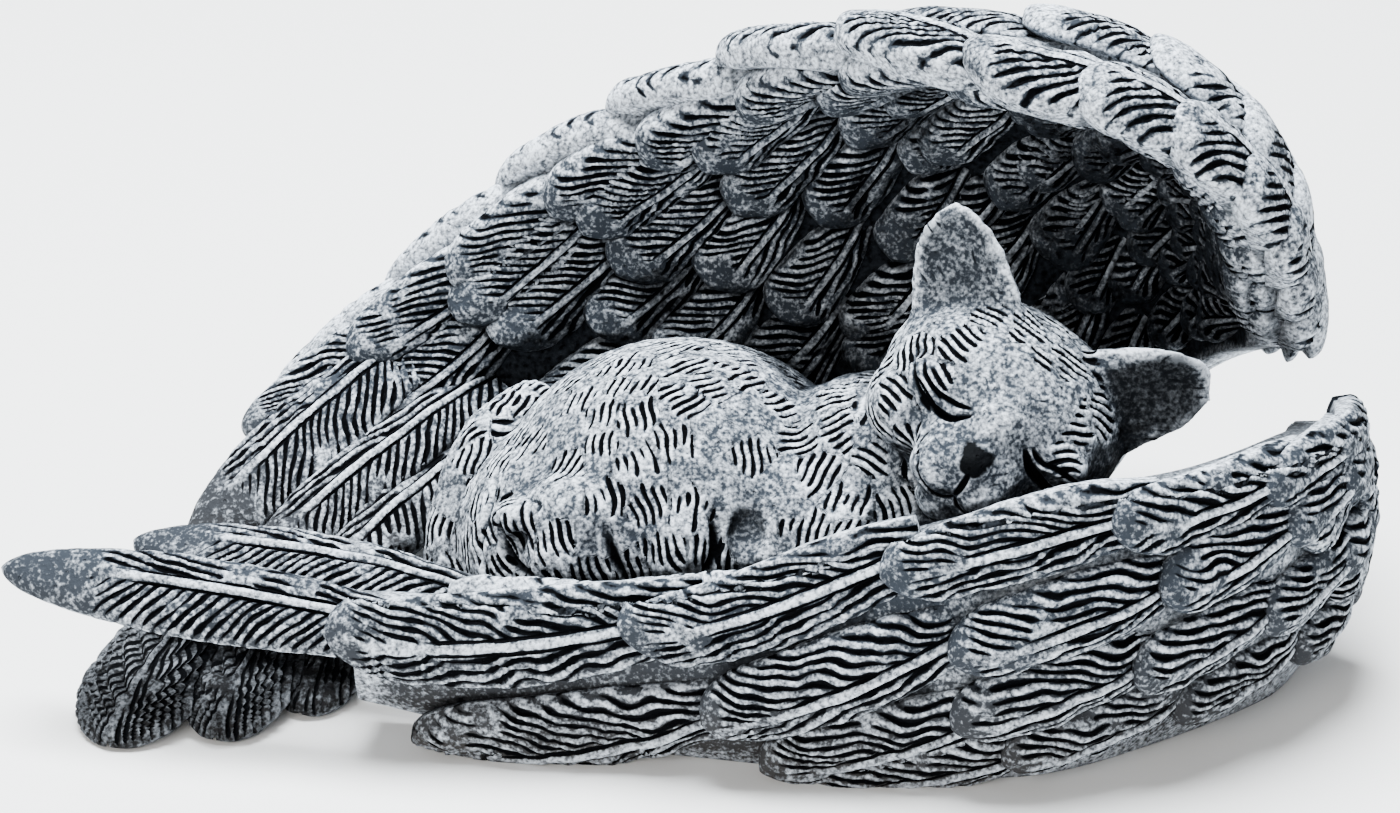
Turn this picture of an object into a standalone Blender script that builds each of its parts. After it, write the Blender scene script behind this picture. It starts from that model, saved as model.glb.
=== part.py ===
"""Pet memorial statue: a kitten asleep in a nest of two angel wings, cast in one piece.

Run it with blender --background --python part.py, or from Blender's text editor.
Lengths are in metres. +X runs from the wing tips to the shoulders, +Y from the low
front wing to the tall back wing, and +Z up. The ground is at zero, under the middle.
"""

import math
from collections import namedtuple

import bpy
import numpy as np
from mathutils import Vector

# Driving sizes of the casting
NEST_LENGTH = 0.250
NEST_DEPTH = 0.124
HOOD_HEIGHT = 0.1125
FRONT_RIM_HEIGHT = 0.060
CAT_LENGTH = 0.100
HEAD_WIDTH = 0.052
SHELL_THICKNESS = 0.0060
SHOULDER_THICKNESS = 0.0100
FLOOR_THICKNESS = 0.0070
FEATHER_THICKNESS = 0.0042

# Where the middle of the finished outline lies on the ground, in shares of length and depth
MIDDLE = (0.0045, -0.050, 0.0)

# How finely the solid is drawn
VOXEL = 0.0012
NEST_EVEN_OUT_PASSES = 2
CAT_EVEN_OUT_PASSES = 10
NEST_DETAIL = 0.028
CAT_DETAIL = 0.050

# The back wing, from the shoulder to the end of its shell. Each station is an arc round
# the nest: x as a share of the length, the arc's centre and radius as shares of the
# depth and of the hood's height, and where it starts and ends, in degrees from straight
# down, through the back, and over the top.
BACK_STATIONS = (
    (0.428, 0.04, 0.480, 0.04, 0.050, 60, 226),
    (0.418, 0.04, 0.480, 0.105, 0.150, 66, 214),
    (0.398, 0.016, 0.480, 0.214, 0.300, 66, 205),
    (0.356, 0.0, 0.480, 0.305, 0.415, 56, 196),
    (0.290, 0.0, 0.476, 0.355, 0.488, 33, 188),
    (0.200, 0.0, 0.466, 0.380, 0.518, 14, 179),
    (0.100, 0.0, 0.457, 0.390, 0.512, 8, 154),
    (0.000, 0.0, 0.474, 0.390, 0.476, 5, 126),
    (-0.100, 0.0, 0.491, 0.390, 0.455, 5, 103),
    (-0.200, 0.0, 0.491, 0.375, 0.455, 5, 80),
)
# The front wing: its rim and its foot, each as x, y and z in shares of the length, the
# depth and the front rim's height, and how far it bulges out between them.
FRONT_STATIONS = (
    (0.455, -0.070, 0.740, 0.452, -0.095, 0.200, 0.025),
    (0.424, -0.245, 0.860, 0.412, -0.220, 0.030, 0.045),
    (0.342, -0.390, 0.890, 0.328, -0.352, 0.0, 0.050),
    (0.236, -0.455, 0.880, 0.228, -0.455, 0.0, 0.045),
    (0.120, -0.440, 0.730, 0.120, -0.445, 0.0, 0.040),
    (0.000, -0.412, 0.540, 0.000, -0.415, 0.020, 0.035),
    (-0.120, -0.385, 0.475, -0.120, -0.385, 0.050, 0.030),
    (-0.240, -0.355, 0.460, -0.240, -0.350, 0.140, 0.025),
)


def through(stations, t):
    """A smooth curve through the stations, at t from 0 to 1, and straight past its ends."""
    rows = np.asarray(stations, float)
    last = len(rows) - 1
    t = np.asarray(t, float) * last
    inside = np.clip(t, 0, last)
    i = np.clip(inside.astype(int), 0, last - 1)
    f = (inside - i)[..., None]
    padded = np.vstack([2 * rows[0] - rows[1], rows, 2 * rows[-1] - rows[-2]])
    before, start, end, after = (padded[i + k] for k in range(4))
    rise, fall = (end - before) / 2, (after - start) / 2
    curve = (
        (2 * f**3 - 3 * f**2 + 1) * start
        + (f**3 - 2 * f**2 + f) * rise
        + (3 * f**2 - 2 * f**3) * end
        + (f**3 - f**2) * fall
    )
    slope = np.where((t > 0)[..., None], rows[-1] - rows[-2], rows[1] - rows[0])
    return curve + (t - inside)[..., None] * slope


def back_wing(u, v):
    """A point of the back wing: u from the shoulder to the tips, v from its foot to its rim."""
    s = through(BACK_STATIONS, u)
    angle = np.radians(s[..., 5] + (s[..., 6] - s[..., 5]) * v)
    x = s[..., 0] * NEST_LENGTH
    y = (s[..., 1] + s[..., 3] * np.sin(angle)) * NEST_DEPTH
    z = (s[..., 2] - s[..., 4] * np.cos(angle)) * HOOD_HEIGHT
    return np.stack([x, y, z], -1)


def front_wing(u, v):
    """A point of the front wing: u from the shoulder to the tips, v from its foot to its rim."""
    scale = np.array([NEST_LENGTH, NEST_DEPTH, FRONT_RIM_HEIGHT])
    step = 1e-3
    s, ahead = through(FRONT_STATIONS, u), through(FRONT_STATIONS, np.asarray(u) + step)
    rim, foot = s[..., :3] * scale, s[..., 3:6] * scale
    run = (ahead - s)[..., :3] * scale
    outward = np.stack([-run[..., 1], run[..., 0], np.zeros_like(run[..., 0])], -1)
    outward /= np.linalg.norm(outward, axis=-1, keepdims=True)
    v = np.asarray(v, float)[..., None]
    bulge = s[..., 6:7] * NEST_DEPTH * np.sin(np.pi * np.clip(v, 0, 1))
    return foot + (rim - foot) * v + outward * bulge


def slopes(surface, u, v):
    """The surface's two slopes and its normal at u, v."""
    e = 1e-3
    du = (surface(u + e, v) - surface(u - e, v)) / (2 * e)
    dv = (surface(u, v + e) - surface(u, v - e)) / (2 * e)
    normal = np.cross(du, dv)
    return du, dv, normal / np.linalg.norm(normal, axis=-1, keepdims=True)


def closed_sheet(top, bottom):
    """Points and faces of a closed solid between two grids of the same shape."""
    rows, columns = top.shape[:2]
    points = np.concatenate([top.reshape(-1, 3), bottom.reshape(-1, 3)])
    index = np.arange(rows * columns).reshape(rows, columns)
    under = index + rows * columns
    faces = []
    for i in range(rows - 1):
        for j in range(columns - 1):
            faces.append((index[i, j], index[i + 1, j], index[i + 1, j + 1], index[i, j + 1]))
            faces.append((under[i, j], under[i, j + 1], under[i + 1, j + 1], under[i + 1, j]))
    edge = [(i, 0) for i in range(rows)]
    edge += [(rows - 1, j) for j in range(1, columns)]
    edge += [(i, columns - 1) for i in range(rows - 2, -1, -1)]
    edge += [(0, j) for j in range(columns - 2, 0, -1)]
    for here, there in zip(edge, edge[1:] + edge[:1]):
        faces.append((index[here], under[here], under[there], index[there]))
    return points, faces


def outline(t):
    """A feather's half-width at t along it, as a share of its widest: slim root, round tip."""
    body = 0.62 + 0.38 * np.sin(np.pi / 2 * np.clip(t / 0.6, 0, 1))
    tip = np.sqrt(np.clip(1 - (np.clip(t - 0.76, 0, 1) / 0.24) ** 2, 0.0, 1))
    return body * np.maximum(tip, 0.03)


def ear_outline(t):
    """An ear's half-width at t along it: broad at the root, with a rounded point."""
    return np.maximum((1 - np.clip(t, 0, 1) ** 2) ** 0.52, 0.05)


def feather(place, length, width, lift, shape=outline, cup=0.12, steps=(14, 8)):
    """A feather as a closed solid. place(along, across) gives points and normals."""
    t = np.linspace(0, 1, steps[0] + 1) ** 0.85
    s = np.sin(np.linspace(-0.5, 0.5, steps[1] + 1) * np.pi)
    t, s = np.meshgrid(t, s, indexing="ij")
    across = s * shape(t) * width / 2
    points, normals = place(t * length, across)
    rise = lift * t - cup * width * s**2 * t
    plump = FEATHER_THICKNESS / 2 * np.sqrt(np.clip(1 - 0.85 * s**4, 0, 1)) * (1 - 0.5 * t**8)
    top = points + normals * (rise + plump)[..., None]
    bottom = points + normals * (rise - plump - 0.3 * FEATHER_THICKNESS * (1 - t))[..., None]
    return closed_sheet(top, bottom)


def on_surface(surface, side, offset, tip_u, tip_v, length, heading):
    """Where a feather lies on a wing, given its tip. heading is in degrees from the wing's run."""
    turn = math.radians(heading)
    u, v = tip_u, tip_v
    for _ in range(2):
        du, dv, normal = slopes(surface, u, v)
        run = du / np.linalg.norm(du)
        rise = np.cross(normal, run)
        if rise @ dv < 0:
            rise = -rise
        along = run * math.cos(turn) + rise * math.sin(turn)
        sideways = rise * math.cos(turn) - run * math.sin(turn)
        back = np.linalg.pinv(np.stack([du, dv], 1))
        step_along, step_across = back @ along, back @ sideways
        u, v = tip_u - step_along[0] * length / 2, tip_v - step_along[1] * length / 2

    def place(a, b):
        at_u = tip_u + (a - length) * step_along[0] + b * step_across[0]
        at_v = tip_v + (a - length) * step_along[1] + b * step_across[1]
        points = surface(at_u, at_v)
        normals = slopes(surface, at_u, at_v)[2] * side
        return points + normals * offset, normals

    return place


def in_the_air(root, tip, facing, arch):
    """Where a free feather lies, from its root to its tip, with its face towards facing."""
    root, tip, facing = (np.asarray(p, float) for p in (root, tip, facing))
    run = tip - root
    length = np.linalg.norm(run)
    sideways = np.cross(facing, run)
    sideways /= np.linalg.norm(sideways)
    face = np.cross(run, sideways) / length

    def place(a, b):
        t = (a / length)[..., None]
        points = root + run * t + face * arch * length * 4 * t * (1 - t) + sideways * b[..., None]
        return points, np.broadcast_to(face, points.shape)

    return place, length


def ball(centre, radii, axes=np.eye(3), rings=12):
    """An egg: points and faces, with its axes as the rows of axes."""
    a = np.linspace(0, np.pi, rings + 1)[1:-1]
    b = np.linspace(0, 2 * np.pi, 2 * rings, endpoint=False)
    a, b = np.meshgrid(a, b, indexing="ij")
    unit = np.stack([np.sin(a) * np.cos(b), np.sin(a) * np.sin(b), np.cos(a)], -1).reshape(-1, 3)
    unit = np.vstack([unit, (0, 0, 1), (0, 0, -1)])
    points = np.asarray(centre) + (unit * np.asarray(radii)) @ np.asarray(axes)
    wide, tall = 2 * rings, rings - 1
    top, low = len(unit) - 2, len(unit) - 1
    faces = []
    for j in range(wide):
        k = (j + 1) % wide
        faces.append((top, j, k))
        faces.append((low, (tall - 1) * wide + k, (tall - 1) * wide + j))
        for i in range(tall - 1):
            faces.append((i * wide + j, (i + 1) * wide + j, (i + 1) * wide + k, i * wide + k))
    return points, faces


def wing_shell(surface, steps):
    """A wing's own body, thick at the shoulder and thin towards the tips."""
    u, v = np.meshgrid(np.linspace(0, 1, steps[0]), np.linspace(0, 1, steps[1]), indexing="ij")
    points, normals = surface(u, v), slopes(surface, u, v)[2]
    half = thickness_at(u)[..., None] / 2
    return closed_sheet(points + normals * half, points - normals * half)


# A row of feathers along a wing. first and last are u and v of the tip nearest the wing's
# end and of the one nearest the shoulder, and pace says how much the steps between them
# shrink. Length, width and lift are those of a feather near the wing's end, and heading is
# in degrees from the wing's own run.
Row = namedtuple("Row", "first last count pace length width heading lift")
BACK_INSIDE = (
    Row((0.99, 0.90), (0.16, 0.98), 12, 1.5, 0.036, 0.0160, -4, 0.0056),
    Row((1.07, 0.72), (0.15, 0.83), 13, 1.5, 0.037, 0.0165, -10, 0.0056),
    Row((0.87, 0.64), (0.14, 0.68), 11, 1.4, 0.031, 0.0165, -18, 0.0056),
    Row((0.81, 0.52), (0.14, 0.54), 10, 1.4, 0.030, 0.0160, -22, 0.0056),
    Row((0.74, 0.38), (0.15, 0.39), 9, 1.4, 0.029, 0.0155, -24, 0.0056),
    Row((0.62, 0.24), (0.20, 0.24), 7, 1.3, 0.027, 0.0150, -24, 0.0052),
)
# Smaller feathers that fill the hood between those rows
BACK_HOOD = (
    Row((0.62, 0.82), (0.20, 0.90), 6, 1.2, 0.030, 0.0150, -8, 0.0046),
    Row((0.60, 0.66), (0.16, 0.76), 7, 1.2, 0.029, 0.0150, -14, 0.0046),
    Row((0.58, 0.50), (0.15, 0.62), 7, 1.2, 0.028, 0.0150, -18, 0.0046),
    Row((0.55, 0.38), (0.15, 0.47), 7, 1.2, 0.027, 0.0145, -20, 0.0046),
    Row((0.50, 0.26), (0.18, 0.32), 6, 1.2, 0.026, 0.0140, -22, 0.0046),
    Row((0.46, 0.10), (0.20, 0.10), 5, 1.2, 0.026, 0.0150, -22, 0.0046),
)
BACK_OUTSIDE = (
    Row((1.17, 1.08), (0.13, 1.05), 11, 1.2, 0.042, 0.0150, 4, 0.0060),
    Row((1.10, 0.88), (0.10, 0.86), 11, 1.3, 0.040, 0.0160, 0, 0.0055),
    Row((1.04, 0.68), (0.10, 0.68), 10, 1.3, 0.040, 0.0160, -3, 0.0055),
    Row((1.08, 0.48), (0.10, 0.50), 10, 1.3, 0.040, 0.0165, -6, 0.0055),
    Row((1.02, 0.28), (0.12, 0.33), 9, 1.3, 0.040, 0.0170, -8, 0.0055),
    Row((0.94, 0.10), (0.20, 0.14), 7, 1.3, 0.038, 0.0170, -8, 0.0055),
)
FRONT_OUTSIDE = (
    Row((0.62, 0.02), (0.10, 0.30), 5, 1.3, 0.050, 0.0150, -12, 0.0045),
    Row((0.66, 0.12), (0.10, 0.56), 6, 1.5, 0.050, 0.0160, -14, 0.0050),
    Row((0.95, -0.02), (0.12, 0.84), 7, 1.9, 0.056, 0.0165, -12, 0.0050),
    Row((1.02, 0.74), (0.10, 0.96), 7, 1.7, 0.062, 0.0180, -5, 0.0050),
)
FRONT_INSIDE = (
    Row((0.94, 0.82), (0.08, 0.86), 8, 1.2, 0.040, 0.0150, 0, 0.0040),
    Row((0.86, 0.50), (0.12, 0.55), 7, 1.2, 0.040, 0.0150, 0, 0.0040),
)
# The rough drooping feathers that wrap the front wing's shoulder
FRONT_SHOULDER = (
    Row((0.20, 0.70), (0.00, 0.66), 3, 1.0, 0.036, 0.0180, -35, 0.0040),
    Row((0.14, 0.40), (-0.02, 0.36), 3, 1.0, 0.036, 0.0180, -50, 0.0040),
    Row((0.12, 0.10), (-0.02, 0.10), 3, 1.0, 0.032, 0.0180, -55, 0.0040),
)


# A feather's size at the shoulder as a share of its row's, and what it gains by the tips
SMALLEST_SHARE = 0.46
GROWTH = 0.60
# How much of a feather's width stays the same however short it is
STEADY_WIDTH = 0.30
# How soon a row's height settles on its way to the shoulder
SETTLING = 0.60


def thickness_at(u):
    """How thick a wing's own body is, from the shoulder at u 0 to the tips at u 1."""
    share = np.clip(np.asarray(u) / 0.5, 0, 1)
    return SHOULDER_THICKNESS + (SHELL_THICKNESS - SHOULDER_THICKNESS) * share


def feather_rows(surface, side, rows):
    """Every feather on one side of a wing, row by row, larger towards the tips."""
    made = []
    for row in rows:
        for k in range(row.count):
            share = 1 - (1 - k / (row.count - 1)) ** row.pace
            u = row.first[0] + (row.last[0] - row.first[0]) * share
            v = row.first[1] + (row.last[1] - row.first[1]) * share**SETTLING
            size = SMALLEST_SHARE + GROWTH * u
            length = row.length * size
            width = row.width * (STEADY_WIDTH + (1 - STEADY_WIDTH) * size)
            sunk = thickness_at(u) / 2 - 0.1 * FEATHER_THICKNESS
            place = on_surface(surface, side, sunk, u, v, length, row.heading)
            made.append(feather(place, length, width, row.lift * size))
    return made


def nest_floor():
    """The floor that the kitten lies on and that joins the two wings."""
    middle = Vector((0.05 * NEST_LENGTH, -0.10 * NEST_DEPTH, 0))
    half_x, half_y = 0.30 * NEST_LENGTH, 0.31 * NEST_DEPTH
    return ball(middle, (half_x, half_y, FLOOR_THICKNESS), rings=16)


# Loose feathers past the shells, as root, tip, facing, width and arch. Places are shares
# of the length, the depth and the hood's height.
LONG_FEATHERS = (
    ((-0.17, -0.42, 0.20), (-0.497, -0.29, 0.255), (0.0, -0.75, 0.66), 0.0150, 0.03),
    ((-0.16, -0.30, 0.21), (-0.412, -0.175, 0.235), (0.0, -0.35, 0.94), 0.0150, 0.02),
    ((-0.20, 0.36, 0.36), (-0.392, 0.06, 0.08), (-0.25, -0.70, 0.66), 0.0190, 0.03),
    ((-0.16, 0.30, 0.28), (-0.350, -0.02, 0.06), (-0.15, -0.70, 0.70), 0.0150, 0.03),
    ((-0.16, 0.22, 0.20), (-0.290, -0.06, 0.06), (-0.10, -0.60, 0.80), 0.0150, 0.03),
    ((-0.352, -0.02, 0.08), (-0.420, -0.415, 0.020), (-0.1, -0.25, 0.96), 0.024, 0.04),
    ((-0.300, -0.04, 0.08), (-0.345, -0.400, 0.020), (0.0, -0.25, 0.96), 0.020, 0.04),
    ((-0.250, -0.06, 0.06), (-0.288, -0.330, 0.020), (0.0, -0.25, 0.96), 0.016, 0.04),
)


def long_feathers():
    scale = np.array([NEST_LENGTH, NEST_DEPTH, HOOD_HEIGHT])
    made = []
    for root, tip, facing, width, arch in LONG_FEATHERS:
        place, length = in_the_air(root * scale, tip * scale, facing, arch)
        made.append(feather(place, length, width, 0.0, cup=0.06))
    return made


# The kitten's forms as eggs: centre and radii in shares of its own length, from the
# middle of the nest's floor.
CAT_FORMS = (
    ((-0.03, -0.05, 0.25), (0.35, 0.33, 0.31)),
    ((-0.19, -0.10, 0.20), (0.26, 0.27, 0.25)),
    ((-0.17, -0.22, 0.26), (0.17, 0.14, 0.18)),
    ((-0.21, -0.27, 0.36), (0.10, 0.08, 0.07)),
    ((-0.31, -0.28, 0.345), (0.07, 0.045, 0.04)),
    ((-0.245, -0.32, 0.25), (0.075, 0.065, 0.12)),
    ((-0.16, -0.36, 0.12), (0.15, 0.07, 0.09)),
    ((-0.036, -0.335, 0.29), (0.07, 0.065, 0.11)),
    ((0.17, -0.20, 0.24), (0.18, 0.19, 0.22)),
    ((0.25, -0.31, 0.27), (0.13, 0.10, 0.14)),
    ((0.38, -0.35, 0.27), (0.15, 0.085, 0.10)),
    ((0.32, -0.12, 0.34), (0.20, 0.20, 0.20)),
    ((0.42, -0.18, 0.33), (0.18, 0.20, 0.20)),
)
TAIL_ROUTE = (
    (-0.32, 0.14, 0.36),
    (-0.40, 0.05, 0.33),
    (-0.45, -0.03, 0.23),
    (-0.46, -0.10, 0.14),
    (-0.42, -0.18, 0.10),
    (-0.31, -0.26, 0.12),
    (-0.20, -0.32, 0.14),
)
TAIL_RADIUS = 0.056
HEAD_PLACE = (0.528, -0.27, 0.55)
# The head's own axes: towards its left cheek, its crown and its nose.
HEAD_SIDE = (0.834, -0.257, -0.489)
HEAD_NOSE = (-0.143, -0.956, 0.258)
# Its forms in shares of its width: across, up and forward.
HEAD_FORMS = (
    ((0.0, 0.02, -0.04), (0.44, 0.345, 0.40)),
    ((-0.29, -0.15, 0.03), (0.22, 0.18, 0.24)),
    ((0.29, -0.15, 0.03), (0.22, 0.18, 0.24)),
    ((0.0, 0.00, 0.28), (0.11, 0.16, 0.14)),
    ((0.0, -0.14, 0.27), (0.18, 0.14, 0.19)),
    ((-0.09, -0.205, 0.36), (0.11, 0.095, 0.11)),
    ((0.09, -0.205, 0.36), (0.11, 0.095, 0.11)),
    ((0.0, -0.31, 0.26), (0.11, 0.07, 0.12)),
    ((0.0, -0.10, 0.45), (0.06, 0.045, 0.045)),
    ((-0.24, 0.02, 0.26), (0.12, 0.08, 0.08)),
    ((0.24, 0.02, 0.26), (0.12, 0.08, 0.08)),
)
EAR_ROOT = (0.25, 0.20, 0.0)
EAR_TIP = (0.52, 0.53, 0.0)
EAR_WIDTH = 0.40
EAR_TURN = 0.25


def head_axes():
    side = Vector(HEAD_SIDE).normalized()
    nose = Vector(HEAD_NOSE)
    nose = (nose - side * nose.dot(side)).normalized()
    crown = nose.cross(side)
    return np.array([side, crown, nose])


def cat_forms():
    made = []
    for centre, radii in CAT_FORMS:
        made.append(ball(np.array(centre) * CAT_LENGTH, np.array(radii) * CAT_LENGTH))
    for t in np.linspace(0, 1, 22):
        at = through(TAIL_ROUTE, t) * CAT_LENGTH
        made.append(ball(at, np.full(3, TAIL_RADIUS * CAT_LENGTH), rings=8))
    axes = head_axes()
    middle = np.array(HEAD_PLACE) * CAT_LENGTH
    for centre, radii in HEAD_FORMS:
        at = middle + (np.array(centre) * HEAD_WIDTH) @ axes
        made.append(ball(at, np.array(radii) * HEAD_WIDTH, axes))
    for mirror in (-1, 1):
        flip = np.array([mirror, 1, 1])
        root = middle + (np.array(EAR_ROOT) * flip * HEAD_WIDTH) @ axes
        tip = middle + (np.array(EAR_TIP) * flip * HEAD_WIDTH) @ axes
        facing = axes[2] + mirror * EAR_TURN * axes[0]
        place, length = in_the_air(root, tip, facing, 0.0)
        made.append(feather(place, length, EAR_WIDTH * HEAD_WIDTH, 0.0, ear_outline, -0.22))
    return made


def joined(name, solids):
    """One mesh object that holds all the solids given."""
    points, faces, count = [], [], 0
    for some, those in solids:
        points.append(some)
        faces += [tuple(int(i) + count for i in face) for face in those]
        count += len(some)
    points = np.concatenate(points) - np.array(MIDDLE) * (NEST_LENGTH, NEST_DEPTH, 0)
    mesh = bpy.data.meshes.new(name)
    mesh.from_pydata(points.tolist(), [], faces)
    made = bpy.data.objects.new(name, mesh)
    bpy.context.scene.collection.objects.link(made)
    return made


def fused(body, passes, detail):
    """Melts overlapping solids into one skin, as a mould would, and thins its faces."""
    remesh = body.modifiers.new("Melt together", "REMESH")
    remesh.mode = "VOXEL"
    remesh.voxel_size = VOXEL
    smooth = body.modifiers.new("Even out", "SMOOTH")
    smooth.factor = 0.5
    smooth.iterations = round(passes)
    thin = body.modifiers.new("Thin", "DECIMATE")
    thin.ratio = detail
    return body


def guide(form):
    """Keeps a form out of the finished model: another object is joined with it or cut by it."""
    form.hide_render = True
    form.display_type = "WIRE"
    return form


def combine(body, other, operation):
    modifier = body.modifiers.new(f"{operation} {other.name}", "BOOLEAN")
    modifier.operation = operation
    modifier.object = other


def block_below_ground():
    """Everything under the ground, which the flat underside is cut by."""
    ends = (-NEST_LENGTH, NEST_LENGTH)
    top = np.array([[(x, y, 0.0) for y in ends] for x in ends])
    return closed_sheet(top, top - (0, 0, HOOD_HEIGHT / 2))


def cast_stone():
    """Grey cast stone, pale and dry."""
    material = bpy.data.materials.new("cast_stone")
    material.use_nodes = True
    shader = material.node_tree.nodes["Principled BSDF"]
    shader.inputs["Base Color"].default_value = (0.30, 0.32, 0.35, 1.0)
    shader.inputs["Roughness"].default_value = 0.8
    shader.inputs["Metallic"].default_value = 0.0
    return material


def main():
    for old in list(bpy.data.objects):
        bpy.data.objects.remove(old)
    solids = [wing_shell(back_wing, (40, 24)), wing_shell(front_wing, (30, 10))]
    solids += feather_rows(back_wing, -1, BACK_INSIDE + BACK_HOOD)
    solids += feather_rows(back_wing, 1, BACK_OUTSIDE)
    solids += feather_rows(front_wing, -1, FRONT_OUTSIDE + FRONT_SHOULDER)
    solids += feather_rows(front_wing, 1, FRONT_INSIDE)
    solids += long_feathers()
    solids.append(nest_floor())
    statue = fused(joined("statue", solids), NEST_EVEN_OUT_PASSES, NEST_DETAIL)
    cat = fused(joined("cat_form", cat_forms()), CAT_EVEN_OUT_PASSES, CAT_DETAIL)
    guide(cat)
    ground = guide(joined("below_ground", [block_below_ground()]))
    combine(statue, cat, "UNION")
    combine(statue, ground, "DIFFERENCE")
    statue.data.materials.append(cast_stone())


main()
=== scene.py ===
# %% [markdown]
# # A kitten asleep between two angel wings
#
# The real ornament is one casting of grey stone mix, about 25 cm long. A tall wing curls
# over the kitten's head as a hood, a low wing runs along the front, and both end in long
# loose feathers on the left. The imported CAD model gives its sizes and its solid. This lesson
# lays the fine carving over it: barbs on the feathers, fur on the kitten, and the paint.

# %% The frame
import math
from collections import namedtuple

import bmesh
import bpy
import numpy as np
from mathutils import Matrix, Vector
from mathutils.bvhtree import BVHTree


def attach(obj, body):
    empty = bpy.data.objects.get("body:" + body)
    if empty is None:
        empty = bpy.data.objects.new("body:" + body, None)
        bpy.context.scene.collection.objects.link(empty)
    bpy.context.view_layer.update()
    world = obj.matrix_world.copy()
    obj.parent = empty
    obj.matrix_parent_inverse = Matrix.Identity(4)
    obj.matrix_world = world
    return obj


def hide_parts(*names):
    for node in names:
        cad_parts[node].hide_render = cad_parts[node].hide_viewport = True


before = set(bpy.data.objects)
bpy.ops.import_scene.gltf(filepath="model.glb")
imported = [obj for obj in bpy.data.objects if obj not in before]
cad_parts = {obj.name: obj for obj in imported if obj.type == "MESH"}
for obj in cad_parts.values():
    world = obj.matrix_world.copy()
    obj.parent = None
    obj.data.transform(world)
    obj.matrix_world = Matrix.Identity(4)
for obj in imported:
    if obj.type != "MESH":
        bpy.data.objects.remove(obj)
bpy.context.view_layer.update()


# %% [markdown]
# ## Sizes
#
# These are the sizes that the casting was modelled from. Each wing is a curved surface,
# drawn smoothly through a few stations between its shoulder and its tips. With u running
# from the shoulder to the tips and v from the foot to the rim, every feather has an address.

# %% The named sizes
NEST_LENGTH = 0.250
NEST_DEPTH = 0.124
HOOD_HEIGHT = 0.1125
FRONT_RIM_HEIGHT = 0.060
CAT_LENGTH = 0.100
HEAD_WIDTH = 0.052
SHELL_THICKNESS = 0.0060
SHOULDER_THICKNESS = 0.0100
FLOOR_THICKNESS = 0.0070
FEATHER_THICKNESS = 0.0042
# From the carver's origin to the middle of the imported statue
TO_THE_MIDDLE = np.array([-0.0045 * NEST_LENGTH, 0.050 * NEST_DEPTH, 0.0])

BACK_STATIONS = (
    (0.428, 0.04, 0.480, 0.04, 0.050, 60, 226),
    (0.418, 0.04, 0.480, 0.105, 0.150, 66, 214),
    (0.398, 0.016, 0.480, 0.214, 0.300, 66, 205),
    (0.356, 0.0, 0.480, 0.305, 0.415, 56, 196),
    (0.290, 0.0, 0.476, 0.355, 0.488, 33, 188),
    (0.200, 0.0, 0.466, 0.380, 0.518, 14, 179),
    (0.100, 0.0, 0.457, 0.390, 0.512, 8, 154),
    (0.000, 0.0, 0.474, 0.390, 0.476, 5, 126),
    (-0.100, 0.0, 0.491, 0.390, 0.455, 5, 103),
    (-0.200, 0.0, 0.491, 0.375, 0.455, 5, 80),
)
FRONT_STATIONS = (
    (0.455, -0.070, 0.740, 0.452, -0.095, 0.200, 0.025),
    (0.424, -0.245, 0.860, 0.412, -0.220, 0.030, 0.045),
    (0.342, -0.390, 0.890, 0.328, -0.352, 0.0, 0.050),
    (0.236, -0.455, 0.880, 0.228, -0.455, 0.0, 0.045),
    (0.120, -0.440, 0.730, 0.120, -0.445, 0.0, 0.040),
    (0.000, -0.412, 0.540, 0.000, -0.415, 0.020, 0.035),
    (-0.120, -0.385, 0.475, -0.120, -0.385, 0.050, 0.030),
    (-0.240, -0.355, 0.460, -0.240, -0.350, 0.140, 0.025),
)

# %% [markdown]
# ## The two wings as surfaces
#
# A sculptor would bend a sheet of clay for each wing and lay feathers on it. Here a smooth
# curve through the stations does the bending. The tall wing's stations are arcs round the
# nest, and the low wing's are a rim and a foot with a bulge between them.


# %% Curves and wings
def through(stations, t):
    """A smooth curve through the stations, at t from 0 to 1, and straight past its ends."""
    rows = np.asarray(stations, float)
    last = len(rows) - 1
    t = np.asarray(t, float) * last
    inside = np.clip(t, 0, last)
    i = np.clip(inside.astype(int), 0, last - 1)
    f = (inside - i)[..., None]
    padded = np.vstack([2 * rows[0] - rows[1], rows, 2 * rows[-1] - rows[-2]])
    before, start, end, after = (padded[i + k] for k in range(4))
    rise, fall = (end - before) / 2, (after - start) / 2
    curve = (
        (2 * f**3 - 3 * f**2 + 1) * start
        + (f**3 - 2 * f**2 + f) * rise
        + (3 * f**2 - 2 * f**3) * end
        + (f**3 - f**2) * fall
    )
    slope = np.where((t > 0)[..., None], rows[-1] - rows[-2], rows[1] - rows[0])
    return curve + (t - inside)[..., None] * slope


def back_wing(u, v):
    s = through(BACK_STATIONS, u)
    angle = np.radians(s[..., 5] + (s[..., 6] - s[..., 5]) * v)
    x = s[..., 0] * NEST_LENGTH
    y = (s[..., 1] + s[..., 3] * np.sin(angle)) * NEST_DEPTH
    z = (s[..., 2] - s[..., 4] * np.cos(angle)) * HOOD_HEIGHT
    return np.stack([x, y, z], -1) + TO_THE_MIDDLE


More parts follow.
